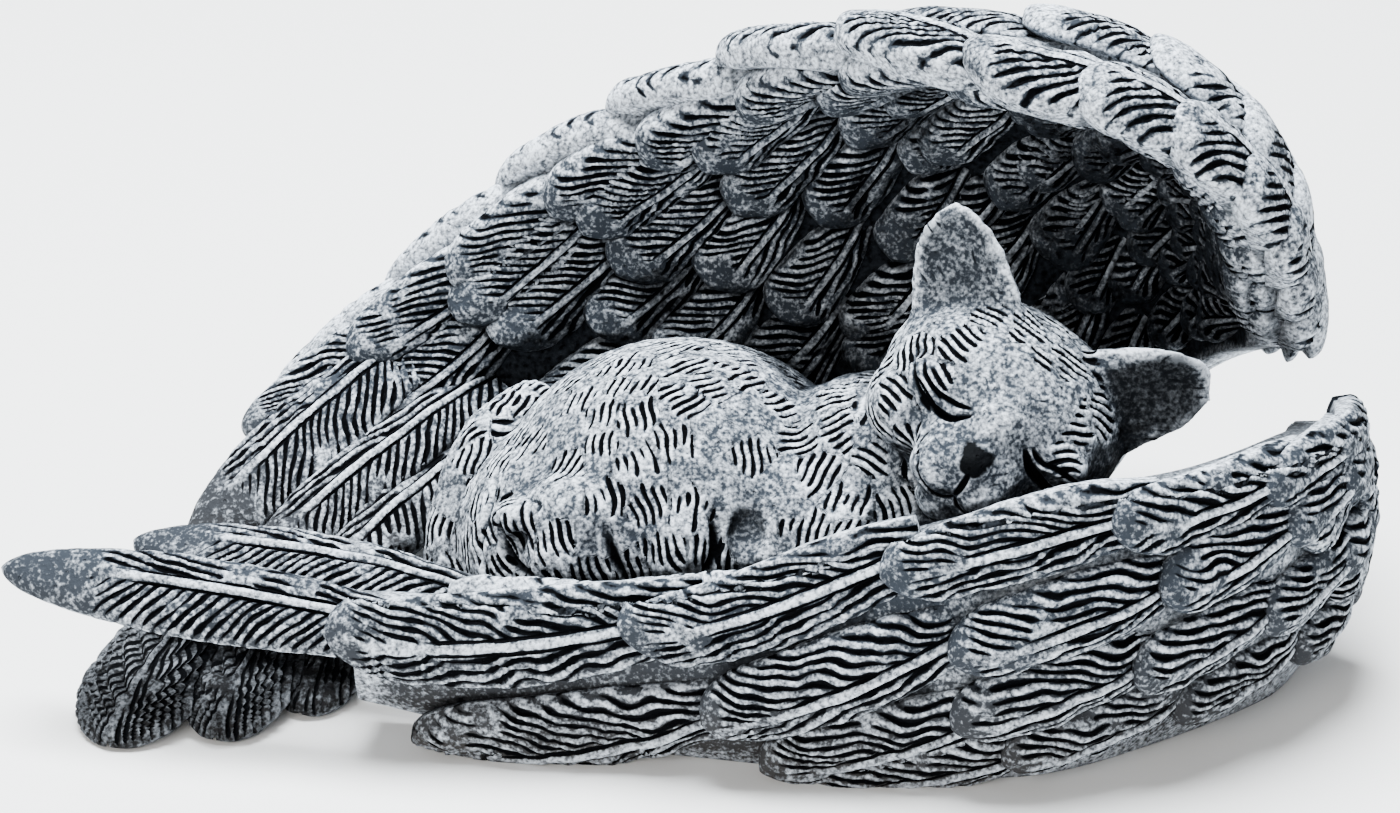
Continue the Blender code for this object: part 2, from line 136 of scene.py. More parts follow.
def front_wing(u, v):
    scale = np.array([NEST_LENGTH, NEST_DEPTH, FRONT_RIM_HEIGHT])
    step = 1e-3
    s, ahead = through(FRONT_STATIONS, u), through(FRONT_STATIONS, np.asarray(u) + step)
    rim, foot = s[..., :3] * scale, s[..., 3:6] * scale
    run = (ahead - s)[..., :3] * scale
    outward = np.stack([-run[..., 1], run[..., 0], np.zeros_like(run[..., 0])], -1)
    outward /= np.linalg.norm(outward, axis=-1, keepdims=True)
    v = np.asarray(v, float)[..., None]
    bulge = s[..., 6:7] * NEST_DEPTH * np.sin(np.pi * np.clip(v, 0, 1))
    return foot + (rim - foot) * v + outward * bulge + TO_THE_MIDDLE


def slopes(surface, u, v):
    """The surface's two slopes and its normal at u, v."""
    e = 1e-3
    du = (surface(u + e, v) - surface(u - e, v)) / (2 * e)
    dv = (surface(u, v + e) - surface(u, v - e)) / (2 * e)
    normal = np.cross(du, dv)
    return du, dv, normal / np.maximum(np.linalg.norm(normal, axis=-1, keepdims=True), 1e-9)


def thickness_at(u):
    """How thick a wing's own body is, from the shoulder at u 0 to the tips at u 1."""
    share = np.clip(np.asarray(u) / 0.5, 0, 1)
    return SHOULDER_THICKNESS + (SHELL_THICKNESS - SHOULDER_THICKNESS) * share


print("The hood's rim is", round(float(back_wing(0.5, 1.0)[2]) * 1000), "mm above the ground")

# %% [markdown]
# ## Writing node trees as sums
#
# Both the carving and the paint are node trees. One small class stands for a socket, so
# that a sum is written as a sum, and one method adds any other node.


# %% A socket that can be added and multiplied
class Thread:
    """One output socket of a tree. Sums and products written with it become Math nodes."""

    def __init__(self, tree, socket):
        self.tree, self.socket = tree, socket

    def math(self, operation, *terms):
        return self.tree.add("ShaderNodeMath", {"operation": operation}, dict(enumerate(terms)))

    def __add__(self, other):
        return self.math("ADD", self, other)

    def __sub__(self, other):
        return self.math("SUBTRACT", self, other)

    def __mul__(self, other):
        return self.math("MULTIPLY", self, other)

    def __truediv__(self, other):
        return self.math("DIVIDE", self, other)

    def __pow__(self, other):
        return self.math("POWER", self, other)

    def __radd__(self, other):
        return self.math("ADD", other, self)

    def __rsub__(self, other):
        return self.math("SUBTRACT", other, self)

    def __rmul__(self, other):
        return self.math("MULTIPLY", other, self)

    def __abs__(self):
        return self.math("ABSOLUTE", self)

    def sine(self):
        return self.math("SINE", self)

    def root(self):
        return self.math("SQRT", self.most(0.0))

    def above(self, other):
        """1 where this is the greater of the two, or else 0."""
        return self.math("GREATER_THAN", self, other)

    def least(self, other):
        return self.math("MINIMUM", self, other)

    def most(self, other):
        return self.math("MAXIMUM", self, other)

    def unit(self):
        """Kept between 0 and 1."""
        return self.most(0.0).least(1.0)

    def fade(self, low, high):
        """0 at low and 1 at high, smooth between them."""
        return self.tree.add(
            "ShaderNodeMapRange",
            {"interpolation_type": "SMOOTHSTEP"},
            {"Value": self, "From Min": low, "From Max": high},
        )


class Bench:
    """A node tree that is being built."""

    def __init__(self, tree):
        self.tree = tree

    def add(self, kind, settings=None, inputs=None, out=0):
        """Adds a node: its settings first, then the values or threads of its sockets."""
        node = self.tree.nodes.new(kind)
        for name, value in (settings or {}).items():
            setattr(node, name, value)
        for key, value in (inputs or {}).items():
            if isinstance(value, Thread):
                self.tree.links.new(value.socket, node.inputs[key])
            else:
                node.inputs[key].default_value = value
        return Thread(self, node.outputs[out])

    def vector(self, operation, *terms, out=0):
        return self.add(
            "ShaderNodeVectorMath", {"operation": operation}, dict(enumerate(terms)), out
        )

    def scaled(self, vector, factor):
        return self.add(
            "ShaderNodeVectorMath", {"operation": "SCALE"}, {0: vector, "Scale": factor}
        )

    def blend(self, factor, low, high):
        return self.add("ShaderNodeMix", {"data_type": "FLOAT"}, {0: factor, 2: low, 3: high})

    def mesh_from(self, thing):
        """The mesh of an object that is one of a tree's inputs."""
        return self.add("GeometryNodeObjectInfo", {}, {"Object": thing}, "Geometry")

    def joined(self, x, y, z):
        return self.add("ShaderNodeCombineXYZ", {}, {0: x, 1: y, 2: z})

    def parts(self, vector):
        """The three numbers of a vector."""
        first = self.add("ShaderNodeSeparateXYZ", {}, {0: vector})
        return [Thread(self, socket) for socket in first.socket.node.outputs]


# %% [markdown]
# ## Trees for Geometry Nodes
#
# A tree gets its sizes through named inputs, so the same carving can be used again on
# another wing. The values go in by each socket's identifier before the tree first runs, the
# finished shape becomes a plain mesh, and the modifier goes.


# %% Starting a tree and making its result plain
GEOMETRY_KINDS = {
    "geometry": "NodeSocketGeometry",
    "object": "NodeSocketObject",
    "number": "NodeSocketFloat",
    "material": "NodeSocketMaterial",
}


def start_tree(name, **wanted):
    """A Geometry Nodes tree with the inputs named for each kind, and its threads by name."""
    tree = bpy.data.node_groups.new(name, "GeometryNodeTree")
    tree.interface.new_socket("Geometry", in_out="OUTPUT", socket_type="NodeSocketGeometry")
    for kind, labels in wanted.items():
        for label in labels:
            tree.interface.new_socket(label, in_out="INPUT", socket_type=GEOMETRY_KINDS[kind])
    bench = Bench(tree)
    entry = tree.nodes.new("NodeGroupInput")
    return bench, {socket.name: Thread(bench, socket) for socket in entry.outputs if socket.name}


def end_tree(bench, geometry, finish):
    """Closes a tree: real geometry, shaded smooth, in its finish."""
    real = bench.add("GeometryNodeRealizeInstances", {}, {0: geometry})
    smooth = bench.add("GeometryNodeSetShadeSmooth", {}, {"Geometry": real})
    coated = bench.add("GeometryNodeSetMaterial", {}, {"Geometry": smooth, "Material": finish})
    leave = bench.tree.nodes.new("NodeGroupOutput")
    bench.tree.links.new(coated.socket, leave.inputs[0])
    return bench.tree


def put_in_scene(name, data):
    made = bpy.data.objects.new(name, data)
    bpy.context.scene.collection.objects.link(made)
    return made


def triangles(mesh):
    mesh.calc_loop_triangles()
    return len(mesh.loop_triangles)


def run_tree(thing, tree, values):
    """Runs the tree on an object and keeps the result as the object's own plain mesh."""
    modifier = thing.modifiers.new(tree.name, "NODES")
    modifier.node_group = tree
    for item in tree.interface.items_tree:
        if item.in_out == "INPUT" and item.name in values:
            modifier[item.identifier] = values[item.name]
    thing.update_tag()
    graph = bpy.context.evaluated_depsgraph_get()
    graph.update()
    mesh = bpy.data.meshes.new_from_object(
        thing.evaluated_get(graph), preserve_all_data_layers=True, depsgraph=graph
    )
    thing.modifiers.remove(modifier)
    old, thing.data = thing.data, mesh
    bpy.data.meshes.remove(old)
    mesh.name = thing.name
    return thing


def mesh_of(name, points, faces, edges=()):
    mesh = bpy.data.meshes.new(name)
    mesh.from_pydata(np.asarray(points).tolist(), list(edges), faces)
    return mesh


def set_numbers(mesh, **numbers):
    """Stores attributes, each with one number, or three, for each point."""
    for name, values in numbers.items():
        values = np.asarray(values, np.float32)
        kind, field = ("FLOAT", "value") if values.ndim == 1 else ("FLOAT_VECTOR", "vector")
        mesh.attributes.new(name, kind, "POINT").data.foreach_set(field, values.ravel())


def in_one(parts):
    """The points and the faces of all parts together. Each part is its points and faces."""
    points, faces, count = [], [], 0
    for some, those in parts:
        points.append(np.reshape(some, (-1, 3)))
        faces += [[int(i) + count for i in face] for face in those]
        count += len(points[-1])
    return np.concatenate(points), faces


# %% [markdown]
# ## Guides for the feathers
#
# A guide is a fine mesh of a wing's surface whose UV map holds the address u, v of each
# point, and whose own attribute holds the way out. Sample UV Surface then finds the place of
# any address. Loose feathers get straight, slightly arched ribbons, side by side in UV.

# %% The guides
GUIDE_U = (-0.45, 1.40, 420)
GUIDE_V = (-0.45, 1.50, 260)


def grid_faces(rows, columns):
    index = np.arange(rows * columns).reshape(rows, columns)
    quads = [index[:-1, :-1], index[1:, :-1], index[1:, 1:], index[:-1, 1:]]
    return np.stack(quads, -1).reshape(-1, 4)


def guide_of(name, patches):
    """One mesh of patches. Each patch is its points, its outward normals and its addresses."""
    points, faces = in_one([(some, grid_faces(*some.shape[:2])) for some, _, _ in patches])
    mesh = mesh_of(name, points, faces)
    set_numbers(mesh, outward=np.concatenate([way.reshape(-1, 3) for _, way, _ in patches]))
    address = np.concatenate([where.reshape(-1, 2) for _, _, where in patches])
    at_corners = address[np.ravel(faces)].astype(np.float32)
    mesh.uv_layers.new(name="address").data.foreach_set("uv", at_corners.ravel())
    return put_in_scene(name, mesh)


def wing_patch(surface):
    u, v = np.meshgrid(np.linspace(*GUIDE_U), np.linspace(*GUIDE_V), indexing="ij")
    return surface(u, v), slopes(surface, u, v)[2], np.stack([u, v], -1)


tall_guide = guide_of("tall_guide", [wing_patch(back_wing)])
low_guide = guide_of("low_guide", [wing_patch(front_wing)])
print("Each wing's guide has", len(tall_guide.data.polygons), "faces")

# %% [markdown]
# ## Rows of feathers
#
# A row is laid like roof tiles, from the tips back to the shoulder, each feather overlapping
# the next. It is given by the address of its first and last tip, the number of feathers and
# the size of one near the tips. The feathers shrink towards the shoulder. A pace above 1
# crowds them there, heading turns them in degrees, and lift raises their tips.

# %% The rows
Row = namedtuple("Row", "first last count pace length width heading lift")
TALL_INSIDE_UPPER = (
    Row((0.99, 0.90), (0.16, 0.98), 12, 1.5, 0.036, 0.0160, -4, 0.0056),
    Row((1.07, 0.72), (0.15, 0.83), 13, 1.5, 0.037, 0.0165, -10, 0.0056),
    Row((0.87, 0.64), (0.14, 0.68), 11, 1.4, 0.031, 0.0165, -18, 0.0056),
)
TALL_INSIDE_LOWER = (
    Row((0.81, 0.52), (0.14, 0.54), 10, 1.4, 0.030, 0.0160, -22, 0.0056),
    Row((0.74, 0.38), (0.15, 0.39), 9, 1.4, 0.029, 0.0155, -24, 0.0056),
    Row((0.62, 0.24), (0.20, 0.24), 7, 1.3, 0.027, 0.0150, -24, 0.0052),
)
TALL_HOOD = (
    Row((0.62, 0.82), (0.20, 0.90), 6, 1.2, 0.030, 0.0150, -8, 0.0046),
    Row((0.60, 0.66), (0.16, 0.76), 7, 1.2, 0.029, 0.0150, -14, 0.0046),
    Row((0.58, 0.50), (0.15, 0.62), 7, 1.2, 0.028, 0.0150, -18, 0.0046),
    Row((0.55, 0.38), (0.15, 0.47), 7, 1.2, 0.027, 0.0145, -20, 0.0046),
    Row((0.50, 0.26), (0.18, 0.32), 6, 1.2, 0.026, 0.0140, -22, 0.0046),
    Row((0.46, 0.10), (0.20, 0.10), 5, 1.2, 0.026, 0.0150, -22, 0.0046),
    Row((0.92, 0.46), (0.55, 0.42), 5, 1.0, 0.030, 0.0165, -20, 0.0030),
    Row((0.86, 0.29), (0.45, 0.26), 6, 1.0, 0.028, 0.0160, -22, 0.0030),
)
TALL_RIM = (
    Row((1.17, 1.03), (0.13, 1.01), 15, 1.2, 0.038, 0.0170, 5, 0.0050),
)
TALL_OUTER_RIM = (
    Row((1.15, 1.09), (0.13, 1.06), 13, 1.2, 0.040, 0.0160, 6, 0.0050),
)
TALL_OUTSIDE = (
    Row((1.13, 0.90), (0.10, 0.88), 11, 1.3, 0.044, 0.0185, 0, 0.0055),
    Row((1.04, 0.68), (0.10, 0.68), 10, 1.3, 0.046, 0.0195, -3, 0.0055),
    Row((1.08, 0.48), (0.10, 0.50), 10, 1.3, 0.046, 0.0200, -6, 0.0055),
    Row((1.02, 0.28), (0.12, 0.33), 9, 1.3, 0.046, 0.0205, -8, 0.0055),
    Row((0.94, 0.10), (0.20, 0.14), 7, 1.3, 0.042, 0.0200, -8, 0.0055),
)
LOW_OUTSIDE = (
    Row((0.62, 0.02), (0.10, 0.30), 5, 1.3, 0.050, 0.0150, -12, 0.0045),
    Row((0.66, 0.12), (0.10, 0.56), 6, 1.5, 0.050, 0.0160, -14, 0.0050),
    Row((0.95, -0.02), (0.12, 0.84), 7, 1.9, 0.056, 0.0165, -12, 0.0050),
    Row((1.02, 0.74), (0.10, 0.96), 7, 1.7, 0.062, 0.0180, -5, 0.0050),
)
LOW_INSIDE = (
    Row((0.94, 0.82), (0.08, 0.86), 8, 1.2, 0.040, 0.0150, 0, 0.0040),
    Row((0.86, 0.50), (0.12, 0.55), 7, 1.2, 0.040, 0.0150, 0, 0.0040),
)
LOW_SHOULDER = (
    Row((0.20, 0.70), (0.00, 0.66), 3, 1.0, 0.036, 0.0180, -35, 0.0040),
    Row((0.14, 0.40), (-0.02, 0.36), 3, 1.0, 0.036, 0.0180, -50, 0.0040),
    Row((0.12, 0.10), (-0.02, 0.10), 3, 1.0, 0.032, 0.0180, -55, 0.0040),
)
# A feather's share of its row's size, at the shoulder and added up to the tips
SMALLEST_SHARE, GROWTH = 0.46, 0.60
STEADY_WIDTH = 0.30
SETTLING = 0.60
# How deep a feather's middle lies in the wing's skin, in its own thickness
SINKING = 0.1


def steps_on(surface, tip_u, tip_v, length, heading):
    """How u and v change for each metre along a feather and across it."""
    turn = math.radians(heading)
    u, v = tip_u, tip_v
    for _ in range(2):
        du, dv, normal = slopes(surface, u, v)
        run = du / np.linalg.norm(du)
        rise = np.cross(normal, run)
        if rise @ dv < 0:
            rise = -rise
        along = run * math.cos(turn) + rise * math.sin(turn)
        sideways = rise * math.cos(turn) - run * math.sin(turn)
        back = np.linalg.pinv(np.stack([du, dv], 1))
        step_along, step_across = back @ along, back @ sideways
        u, v = tip_u - step_along[0] * length / 2, tip_v - step_along[1] * length / 2
    return step_along, step_across


def quills(name, surface, rows, seed, outside):
    """One point for each feather, at its tip, with its sizes and its steps stored on it.

    outside is 1 for feathers on the wing's outside and 0 for those in the middle of its rim.
    """
    chance = np.random.default_rng(seed)
    points, tip, along, across, size, sunk = [], [], [], [], [], []
    for row in rows:
        for k in range(row.count):
            share = 1 - (1 - k / (row.count - 1)) ** row.pace
            u = row.first[0] + (row.last[0] - row.first[0]) * share
            v = row.first[1] + (row.last[1] - row.first[1]) * share**SETTLING
            grown = SMALLEST_SHARE + GROWTH * u
            length = row.length * grown
            width = row.width * (STEADY_WIDTH + (1 - STEADY_WIDTH) * grown)
            step_along, step_across = steps_on(surface, u, v, length, row.heading)
            points.append(surface(u, v))
            tip.append((u, v, 0))
            along.append((*step_along, 0))
            across.append((*step_across, 0))
            size.append((length, width, row.lift * grown))
            sunk.append(outside * thickness_at(u) / 2 - SINKING * FEATHER_THICKNESS)
    mesh = mesh_of(name, points, [])
    set_numbers(mesh, tip=tip, step_along=along, step_across=across, size=size, sunk=sunk)
    set_numbers(mesh, chance=chance.random(len(points)))
    print(name, "has", len(points), "feathers")
    return put_in_scene(name, mesh)


# %% [markdown]
# ## The feather blank
#
# Every feather starts as the same flat blank: t runs from its root to its tip, s from one
# edge to the other, and face says whether a point is on the carved side or on the plain
# side, which needs fewer faces. The two sides share their rim, so the blank is closed.


# %% The blank
CROWDING_AT_TIP = 1.35


def blank(name, rows, columns, thrift=4):
    """A closed blank with rows x columns faces on its carved side, and wider ones under it."""
    t = 1 - (1 - np.linspace(0, 1, rows + 1)) ** CROWDING_AT_TIP
    s = np.sin(np.linspace(-0.5, 0.5, columns + 1) * np.pi)
    upper = np.arange((rows + 1) * (columns + 1)).reshape(rows + 1, columns + 1)
    inner = s[thrift:-thrift:thrift]
    lower = upper.size + np.arange((rows + 1) * len(inner)).reshape(rows + 1, -1)
    lower = np.hstack([upper[:, :1], lower, upper[:, -1:]])
    faces = grid_faces(rows + 1, columns + 1).tolist()
    quads = [lower[:-1, :-1], lower[:-1, 1:], lower[1:, 1:], lower[1:, :-1]]
    faces += np.stack(quads, -1).reshape(-1, 4).tolist()
    for row, turned in ((0, 1), (rows, -1)):
        ring = list(upper[row]) + list(lower[row, -2:0:-1])
        faces.append([int(i) for i in ring[::turned]])
    sides = [(t, s, 1.0), (t, inner, -1.0)]
    where = [np.stack(np.meshgrid(a, b, [c], indexing="ij"), -1) for a, b, c in sides]
    where = np.concatenate([grid.reshape(-1, 3) for grid in where])
    mesh = mesh_of(name, where * (1, 1, 0), faces)
    set_numbers(mesh, t=where[:, 0], s=where[:, 1], face=where[:, 2])
    print(name, "has", triangles(mesh), "triangles")
    return put_in_scene(name, mesh)


fine_blank = blank("fine_blank", 60, 24)
long_blank = blank("long_blank", 80, 30, 5)
small_blank = blank("small_blank", 44, 20)
plain_blank = blank("plain_blank", 36, 16)

# %% [markdown]
# ## Carving a feather
#
# The carver leaves the last quarter of each feather smooth and puffy, raises a thin shaft,
# and cuts the barbs from the shaft outwards: steep on the upper vane, nearly along the shaft
# on the lower one. The tree puts the blank on every quill, bends it on the guide and cuts
# the barbs as V grooves. The count of the grooves is kept on each point, so that the paint
# finds the same grooves again, as sharp as a brush would leave them.


# %% The feather tree
FEATHER_SIZES = (
    *("Thickness", "Cup", "Barb pitch", "Barb depth", "Shaft width", "Shaft lean"),
    *("Upper barbs", "Lower barbs", "Root width", "Tip start", "Smooth tip"),
    *("Drift", "Raggedness", "Lumps", "Seed"),
)
LOWEST_PLACE = (-1.0, -1.0, 0.0)
# Nearer to the shoulder than this u the wing closes to a point
NEAREST_SHOULDER = (0.02, -1.0, 0.0)
# Along a feather: where it is widest, and where its shaft sinks into it
WIDEST_AT = 0.6
SHAFT_END = (0.62, 0.78)
SHAFT_RISE = 0.0006


def attribute(bench, name, kind="FLOAT"):
    return bench.add("GeometryNodeInputNamedAttribute", {"data_type": kind}, {"Name": name})


def keep(bench, geometry, name, value, kind="FLOAT"):
    """Stores a number or a vector on every point."""
    return bench.add(
        "GeometryNodeStoreNamedAttribute",
        {"data_type": kind, "domain": "POINT"},
        {"Geometry": geometry, "Name": name, "Value": value},
    )


def noise(bench, where, scale, detail=2.0):
    return bench.add(
        "ShaderNodeTexNoise", {}, {"Vector": where, "Scale": scale, "Detail": detail}
    )


def grooves(bench, barbs, carving):
    """How deep a point lies in a groove, and how near the top of the shaft, from 0 to 1.

    barbs counts the grooves of the upper and the lower vane, and the shaft widths from the
    shaft. carving says how strongly barbs and shaft are cut there.
    """
    upper, lower, reach = bench.parts(barbs)
    strength, shaft, _ = bench.parts(carving)
    phase = bench.blend(reach.above(0.0), lower, upper)
    wave = abs((phase * math.pi).sine())
    barb = (1.0 - wave) ** 1.2 * strength * (abs(reach) - 0.8).unit()
    flank = (1.0 - abs(abs(reach) - 1.5) * 1.8).most(0.0) * shaft
    return barb.most(flank), (1.0 - abs(reach)).most(0.0) * shaft


def feather_tree():
    bench, given = start_tree(
        "Lay and carve feathers",
        geometry=["Quills"],
        object=["Blank", "Guide"],
        number=["Side", *FEATHER_SIZES],
        material=["Finish"],
    )
    form = bench.mesh_from(given["Blank"])
    laid = bench.add(
        "GeometryNodeInstanceOnPoints", {}, {"Points": given["Quills"], "Instance": form}
    )
    laid = bench.add("GeometryNodeRealizeInstances", {}, {0: laid})
    t, s, face = (attribute(bench, name) for name in ("t", "s", "face"))
    chance, sunk = attribute(bench, "chance"), attribute(bench, "sunk")
    length, width, lift = bench.parts(attribute(bench, "size", "FLOAT_VECTOR"))

    # The outline: slim at the root, widest past the middle, round at the tip
    slim = given["Root width"]
    body = slim + (1.0 - slim) * ((t / WIDEST_AT).unit() * (math.pi / 2)).sine()
    point = ((t - given["Tip start"]) / (1.0 - given["Tip start"])).unit()
    round_tip = (1.0 - point * point).root().most(0.03)
    along = t * length
    half = body * round_tip * width / 2
    across = s * half

    # The barbs, on either side of a shaft that leans towards one edge
    from_shaft = across - given["Shaft lean"] * half
    flat_place = bench.joined(along, across, chance + given["Seed"])
    drift = (noise(bench, flat_place, 95.0, 1.0) - 0.5) * given["Drift"]
    counted = []
    for label, vane in (("Upper barbs", 1.0), ("Lower barbs", -1.0)):
        slant = given[label].math("RADIANS", given[label])
        beyond = vane * from_shaft * slant.math("COSINE", slant) - along * slant.sine()
        counted.append(beyond / given["Barb pitch"] + drift)
    barbs = bench.joined(*counted, from_shaft / given["Shaft width"])
    smooth_from = 1.0 - given["Smooth tip"]
    at_tip = t.fade(smooth_from - 0.05, smooth_from + 0.06)
    at_rim = abs(s).fade(0.80, 0.97)
    worn = noise(bench, flat_place, 120.0, 1.0).fade(0.30, 0.42)
    carved = face.above(0.0)
    strength = (1.0 - at_tip) * (1.0 - at_rim * 0.7) * worn * carved
    carving = bench.joined(strength, (1.0 - t.fade(*SHAFT_END)) * carved, 0.0)
    cut, ridge = grooves(bench, barbs, carving)

    # Small lumps and nicks, so that no two feathers are the same
    half_worn = half * (1.0 - cut * given["Raggedness"])
    half_worn = half_worn * (0.97 + 0.10 * noise(bench, flat_place, 260.0))
    across = s * half_worn
    lump = (noise(bench, flat_place, 130.0) - 0.5) * given["Lumps"]

    # Bent on the guide
    ahead = bench.scaled(attribute(bench, "step_along", "FLOAT_VECTOR"), along - length)
    aside = bench.scaled(attribute(bench, "step_across", "FLOAT_VECTOR"), across)
    tip = attribute(bench, "tip", "FLOAT_VECTOR")
    address = bench.vector("ADD", bench.vector("ADD", tip, ahead), aside)
    address = bench.vector("MAXIMUM", address, NEAREST_SHOULDER)
    guide = bench.mesh_from(given["Guide"])
    place = bench.add("GeometryNodeInputPosition")
    uv = attribute(bench, "address", "FLOAT_VECTOR")
    outward = attribute(bench, "outward", "FLOAT_VECTOR")
    found = [
        bench.add(
            "GeometryNodeSampleUVSurface",
            {"data_type": "FLOAT_VECTOR"},
            {"Mesh": guide, "Value": value, "UV Map": uv, "Sample UV": address},
        )
        for value in (place, outward)
    ]
    plump = given["Thickness"] / 2 * (1.0 - (s * s) * (s * s)).root()
    plump = plump * round_tip**0.7 * (0.2 + 0.8 * (t / 0.25).unit())
    rise = lift * t - given["Cup"] * width * s * s * t
    top = rise + plump + lump + ridge * SHAFT_RISE - cut * given["Barb depth"]
    under = rise - plump - 0.3 * given["Thickness"] * (1.0 - t)
    height = bench.blend(carved, under, top) + sunk
    offset = bench.scaled(bench.vector("NORMALIZE", found[1]), height * given["Side"])
    above_ground = bench.vector("MAXIMUM", bench.vector("ADD", found[0], offset), LOWEST_PLACE)
    bent = bench.add("GeometryNodeSetPosition", {}, {"Geometry": laid, "Position": above_ground})
    inward = given["Side"].math("LESS_THAN", given["Side"], 0.0)
    bent = bench.add("GeometryNodeFlipFaces", {}, {"Mesh": bent, "Selection": inward})
    bent = keep(bench, bent, "barbs", barbs, "FLOAT_VECTOR")
    bent = keep(bench, bent, "carving", carving, "FLOAT_VECTOR")
    return end_tree(bench, bent, given["Finish"])


lay_feathers = feather_tree()
print("The feather tree has", len(lay_feathers.nodes), "nodes")

# %% [markdown]
# ## Grey cast stone
#
# The casting is painted dark, wiped, and dry-brushed pale, so its grooves stay nearly black
# and what stands proud is pale. Painted shade darkens the grooves and the shut-in places
# further, and a little painted light from above pales what sees the sky. Low down it is
# browner. The paint reads what the carving leaves on each point: the count of the grooves,
# the lines of the face, how shut in the place is, how far it stands proud, how much sky it
# sees, where the nose's dark paint and the painted shade of the ear cups and the fan go, and
# where more of the dry brush goes. Noise speckles all of it.


# %% The finish
# Pale dry brush, which also carries a little painted light from above
PALE = (0.74, 0.81, 0.90, 1.0)
MIDDLE_GREY = (0.026, 0.032, 0.041, 1.0)
BROWN = (0.030, 0.025, 0.020, 1.0)
# Near black, for dark wash with painted shade in the grooves and the shut-in places
DARK_WASH_AND_SHADE = (0.0009, 0.0011, 0.0016, 1.0)
# Near black, for the nose's dark paint and for painted shade in the ear cups and on the fan
DARK_PAINT_AND_SHADE = (0.0020, 0.0024, 0.0030, 1.0)
BROWN_HEIGHT = 0.034


def stone_finish(name):
    material = bpy.data.materials.new(name)
    material.use_nodes = True
    bench = Bench(material.node_tree)
    shader = material.node_tree.nodes["Principled BSDF"]

    def read(label, out="Fac"):
        return bench.add("ShaderNodeAttribute", {"attribute_name": label}, out=out)

    def colour_mix(factor, low, high):
        return bench.add("ShaderNodeMix", {"data_type": "RGBA"}, {0: factor, 6: low, 7: high}, 2)

    place = bench.add("ShaderNodeTexCoord", out="Object")
    line, shut_in, proud, sky, soot, brushed = (
        read(label) for label in ("cut", "shut_in", "proud", "sky", "soot", "brushed")
    )
    carving = read("carving", "Vector")
    groove, ridge = grooves(bench, read("barbs", "Vector"), carving)
    strength = bench.parts(carving)[0]
    speckle = noise(bench, place, 1500.0, 3.0)
    blotch = noise(bench, place, 160.0, 3.0)
    grain = noise(bench, place, 800.0, 4.0)
    # The grooves run thick and thin and break here and there
    broken = (noise(bench, place, 260.0, 3.0) - 0.5) * 1.3
    cut = (groove - broken).fade(0.12, 0.50) * groove.fade(0.02, 0.12)
    cut = cut.most(line.fade(0.15, 0.55))
    crest = strength * (1.0 - groove.fade(0.0, 0.25)) + ridge
    uneven = (blotch - 0.5) * 0.7 + (grain - 0.5) * 1.6
    # Painted shade where the place is shut in
    hidden = ((shut_in - 0.50) * 4.0).most(-0.1).least(0.75)
    # Dark wash with painted shade in the grooves and the lines, and the painted shade of shut-in
    # places
    wash_and_shade = (cut * 1.5 + hidden + uneven - proud * 0.3).unit()
    # Pale dry brush on what stands proud and on the crests, and a little painted light from above
    # where the sky shows
    dry = proud * 0.8 + crest * 0.15 + (sky - 0.60) * 0.05 + brushed * 0.34 - 0.12
    dry = (dry + (speckle - 0.5) * 2.0 + uneven - cut * 1.8).unit() ** 1.7 * (1.0 - wash_and_shade * 0.85)
    height = bench.parts(place)[2]
    low_down = (1.0 - height / BROWN_HEIGHT).unit() * (0.45 + 0.5 * blotch)
    stone = colour_mix(low_down, MIDDLE_GREY, BROWN)
    painted = colour_mix(dry * (1.0 - low_down * 0.55), stone, PALE)
    painted = colour_mix(wash_and_shade, painted, DARK_WASH_AND_SHADE)
    # The nose's dark paint, and painted shade in the ear cups and on the fan
    painted = colour_mix(soot, painted, DARK_PAINT_AND_SHADE)
    pits = bench.add(
        "ShaderNodeTexVoronoi", {}, {"Vector": place, "Scale": 420.0}, out="Distance"
    )
    pit = 1.0 - pits.fade(0.06, 0.16)
    relief = (speckle - 0.5) * 0.0002 + (grain - 0.5) * 0.0004 - pit * 0.0004 - groove * 0.0005
    bump = bench.add(
        "ShaderNodeBump", {}, {"Strength": 1.0, "Distance": 1.0, "Height": relief}
    )
    links = material.node_tree.links
    links.new(painted.socket, shader.inputs["Base Color"])
    links.new((0.70 + wash_and_shade * 0.2 + speckle * 0.1).socket, shader.inputs["Roughness"])
    links.new(bump.socket, shader.inputs["Normal"])
    shader.inputs["Specular IOR Level"].default_value = 0.03
    return material


cast_stone = stone_finish("grey_cast_stone")
print("The finish has", len(cast_stone.node_tree.nodes), "nodes")

# %% [markdown]
# ## Laying the feathers
#
# Each side of each wing is one piece or more, so that none gets too many faces. The tall
# wing's inside has long rows on top of short, flat coverts that fill the hood. Two rows meet
# along its rim, and its hidden outside gets plainer feathers. The changes to the carving
# follow the photo: streaks on the low wing, torn edges at its shoulder, slim roots on the rim.

# %% The feathers of both wings
CARVING = {
    "Thickness": FEATHER_THICKNESS * 1.25,
    "Cup": 0.12,
    "Barb pitch": 0.0017,
    "Barb depth": 0.0009,
    "Shaft width": 0.0007,
    "Shaft lean": -0.25,
    "Upper barbs": 46.0,
    "Lower barbs": 12.0,
    "Root width": 0.55,
    "Tip start": 0.76,
    "Smooth tip": 0.24,
    "Drift": 2.2,
    "Raggedness": 0.10,
    "Lumps": 0.0014,
    "Seed": 1.0,
    "Finish": cast_stone,
}


def lay(name, wing, rows, side, form, seed, outside=1.0, **changes):
    """Lays rows on a wing, on the side of its normals at 1.0 and on the other at -1.0."""
    surface, guide = wing
    row_points = quills(name, surface, rows, seed, outside)
    values = {**CARVING, "Guide": guide, "Blank": form, "Side": side, "Seed": float(seed)}
    piece = run_tree(row_points, lay_feathers, {**values, **changes})
    print("  and", triangles(piece.data), "triangles")
    return piece


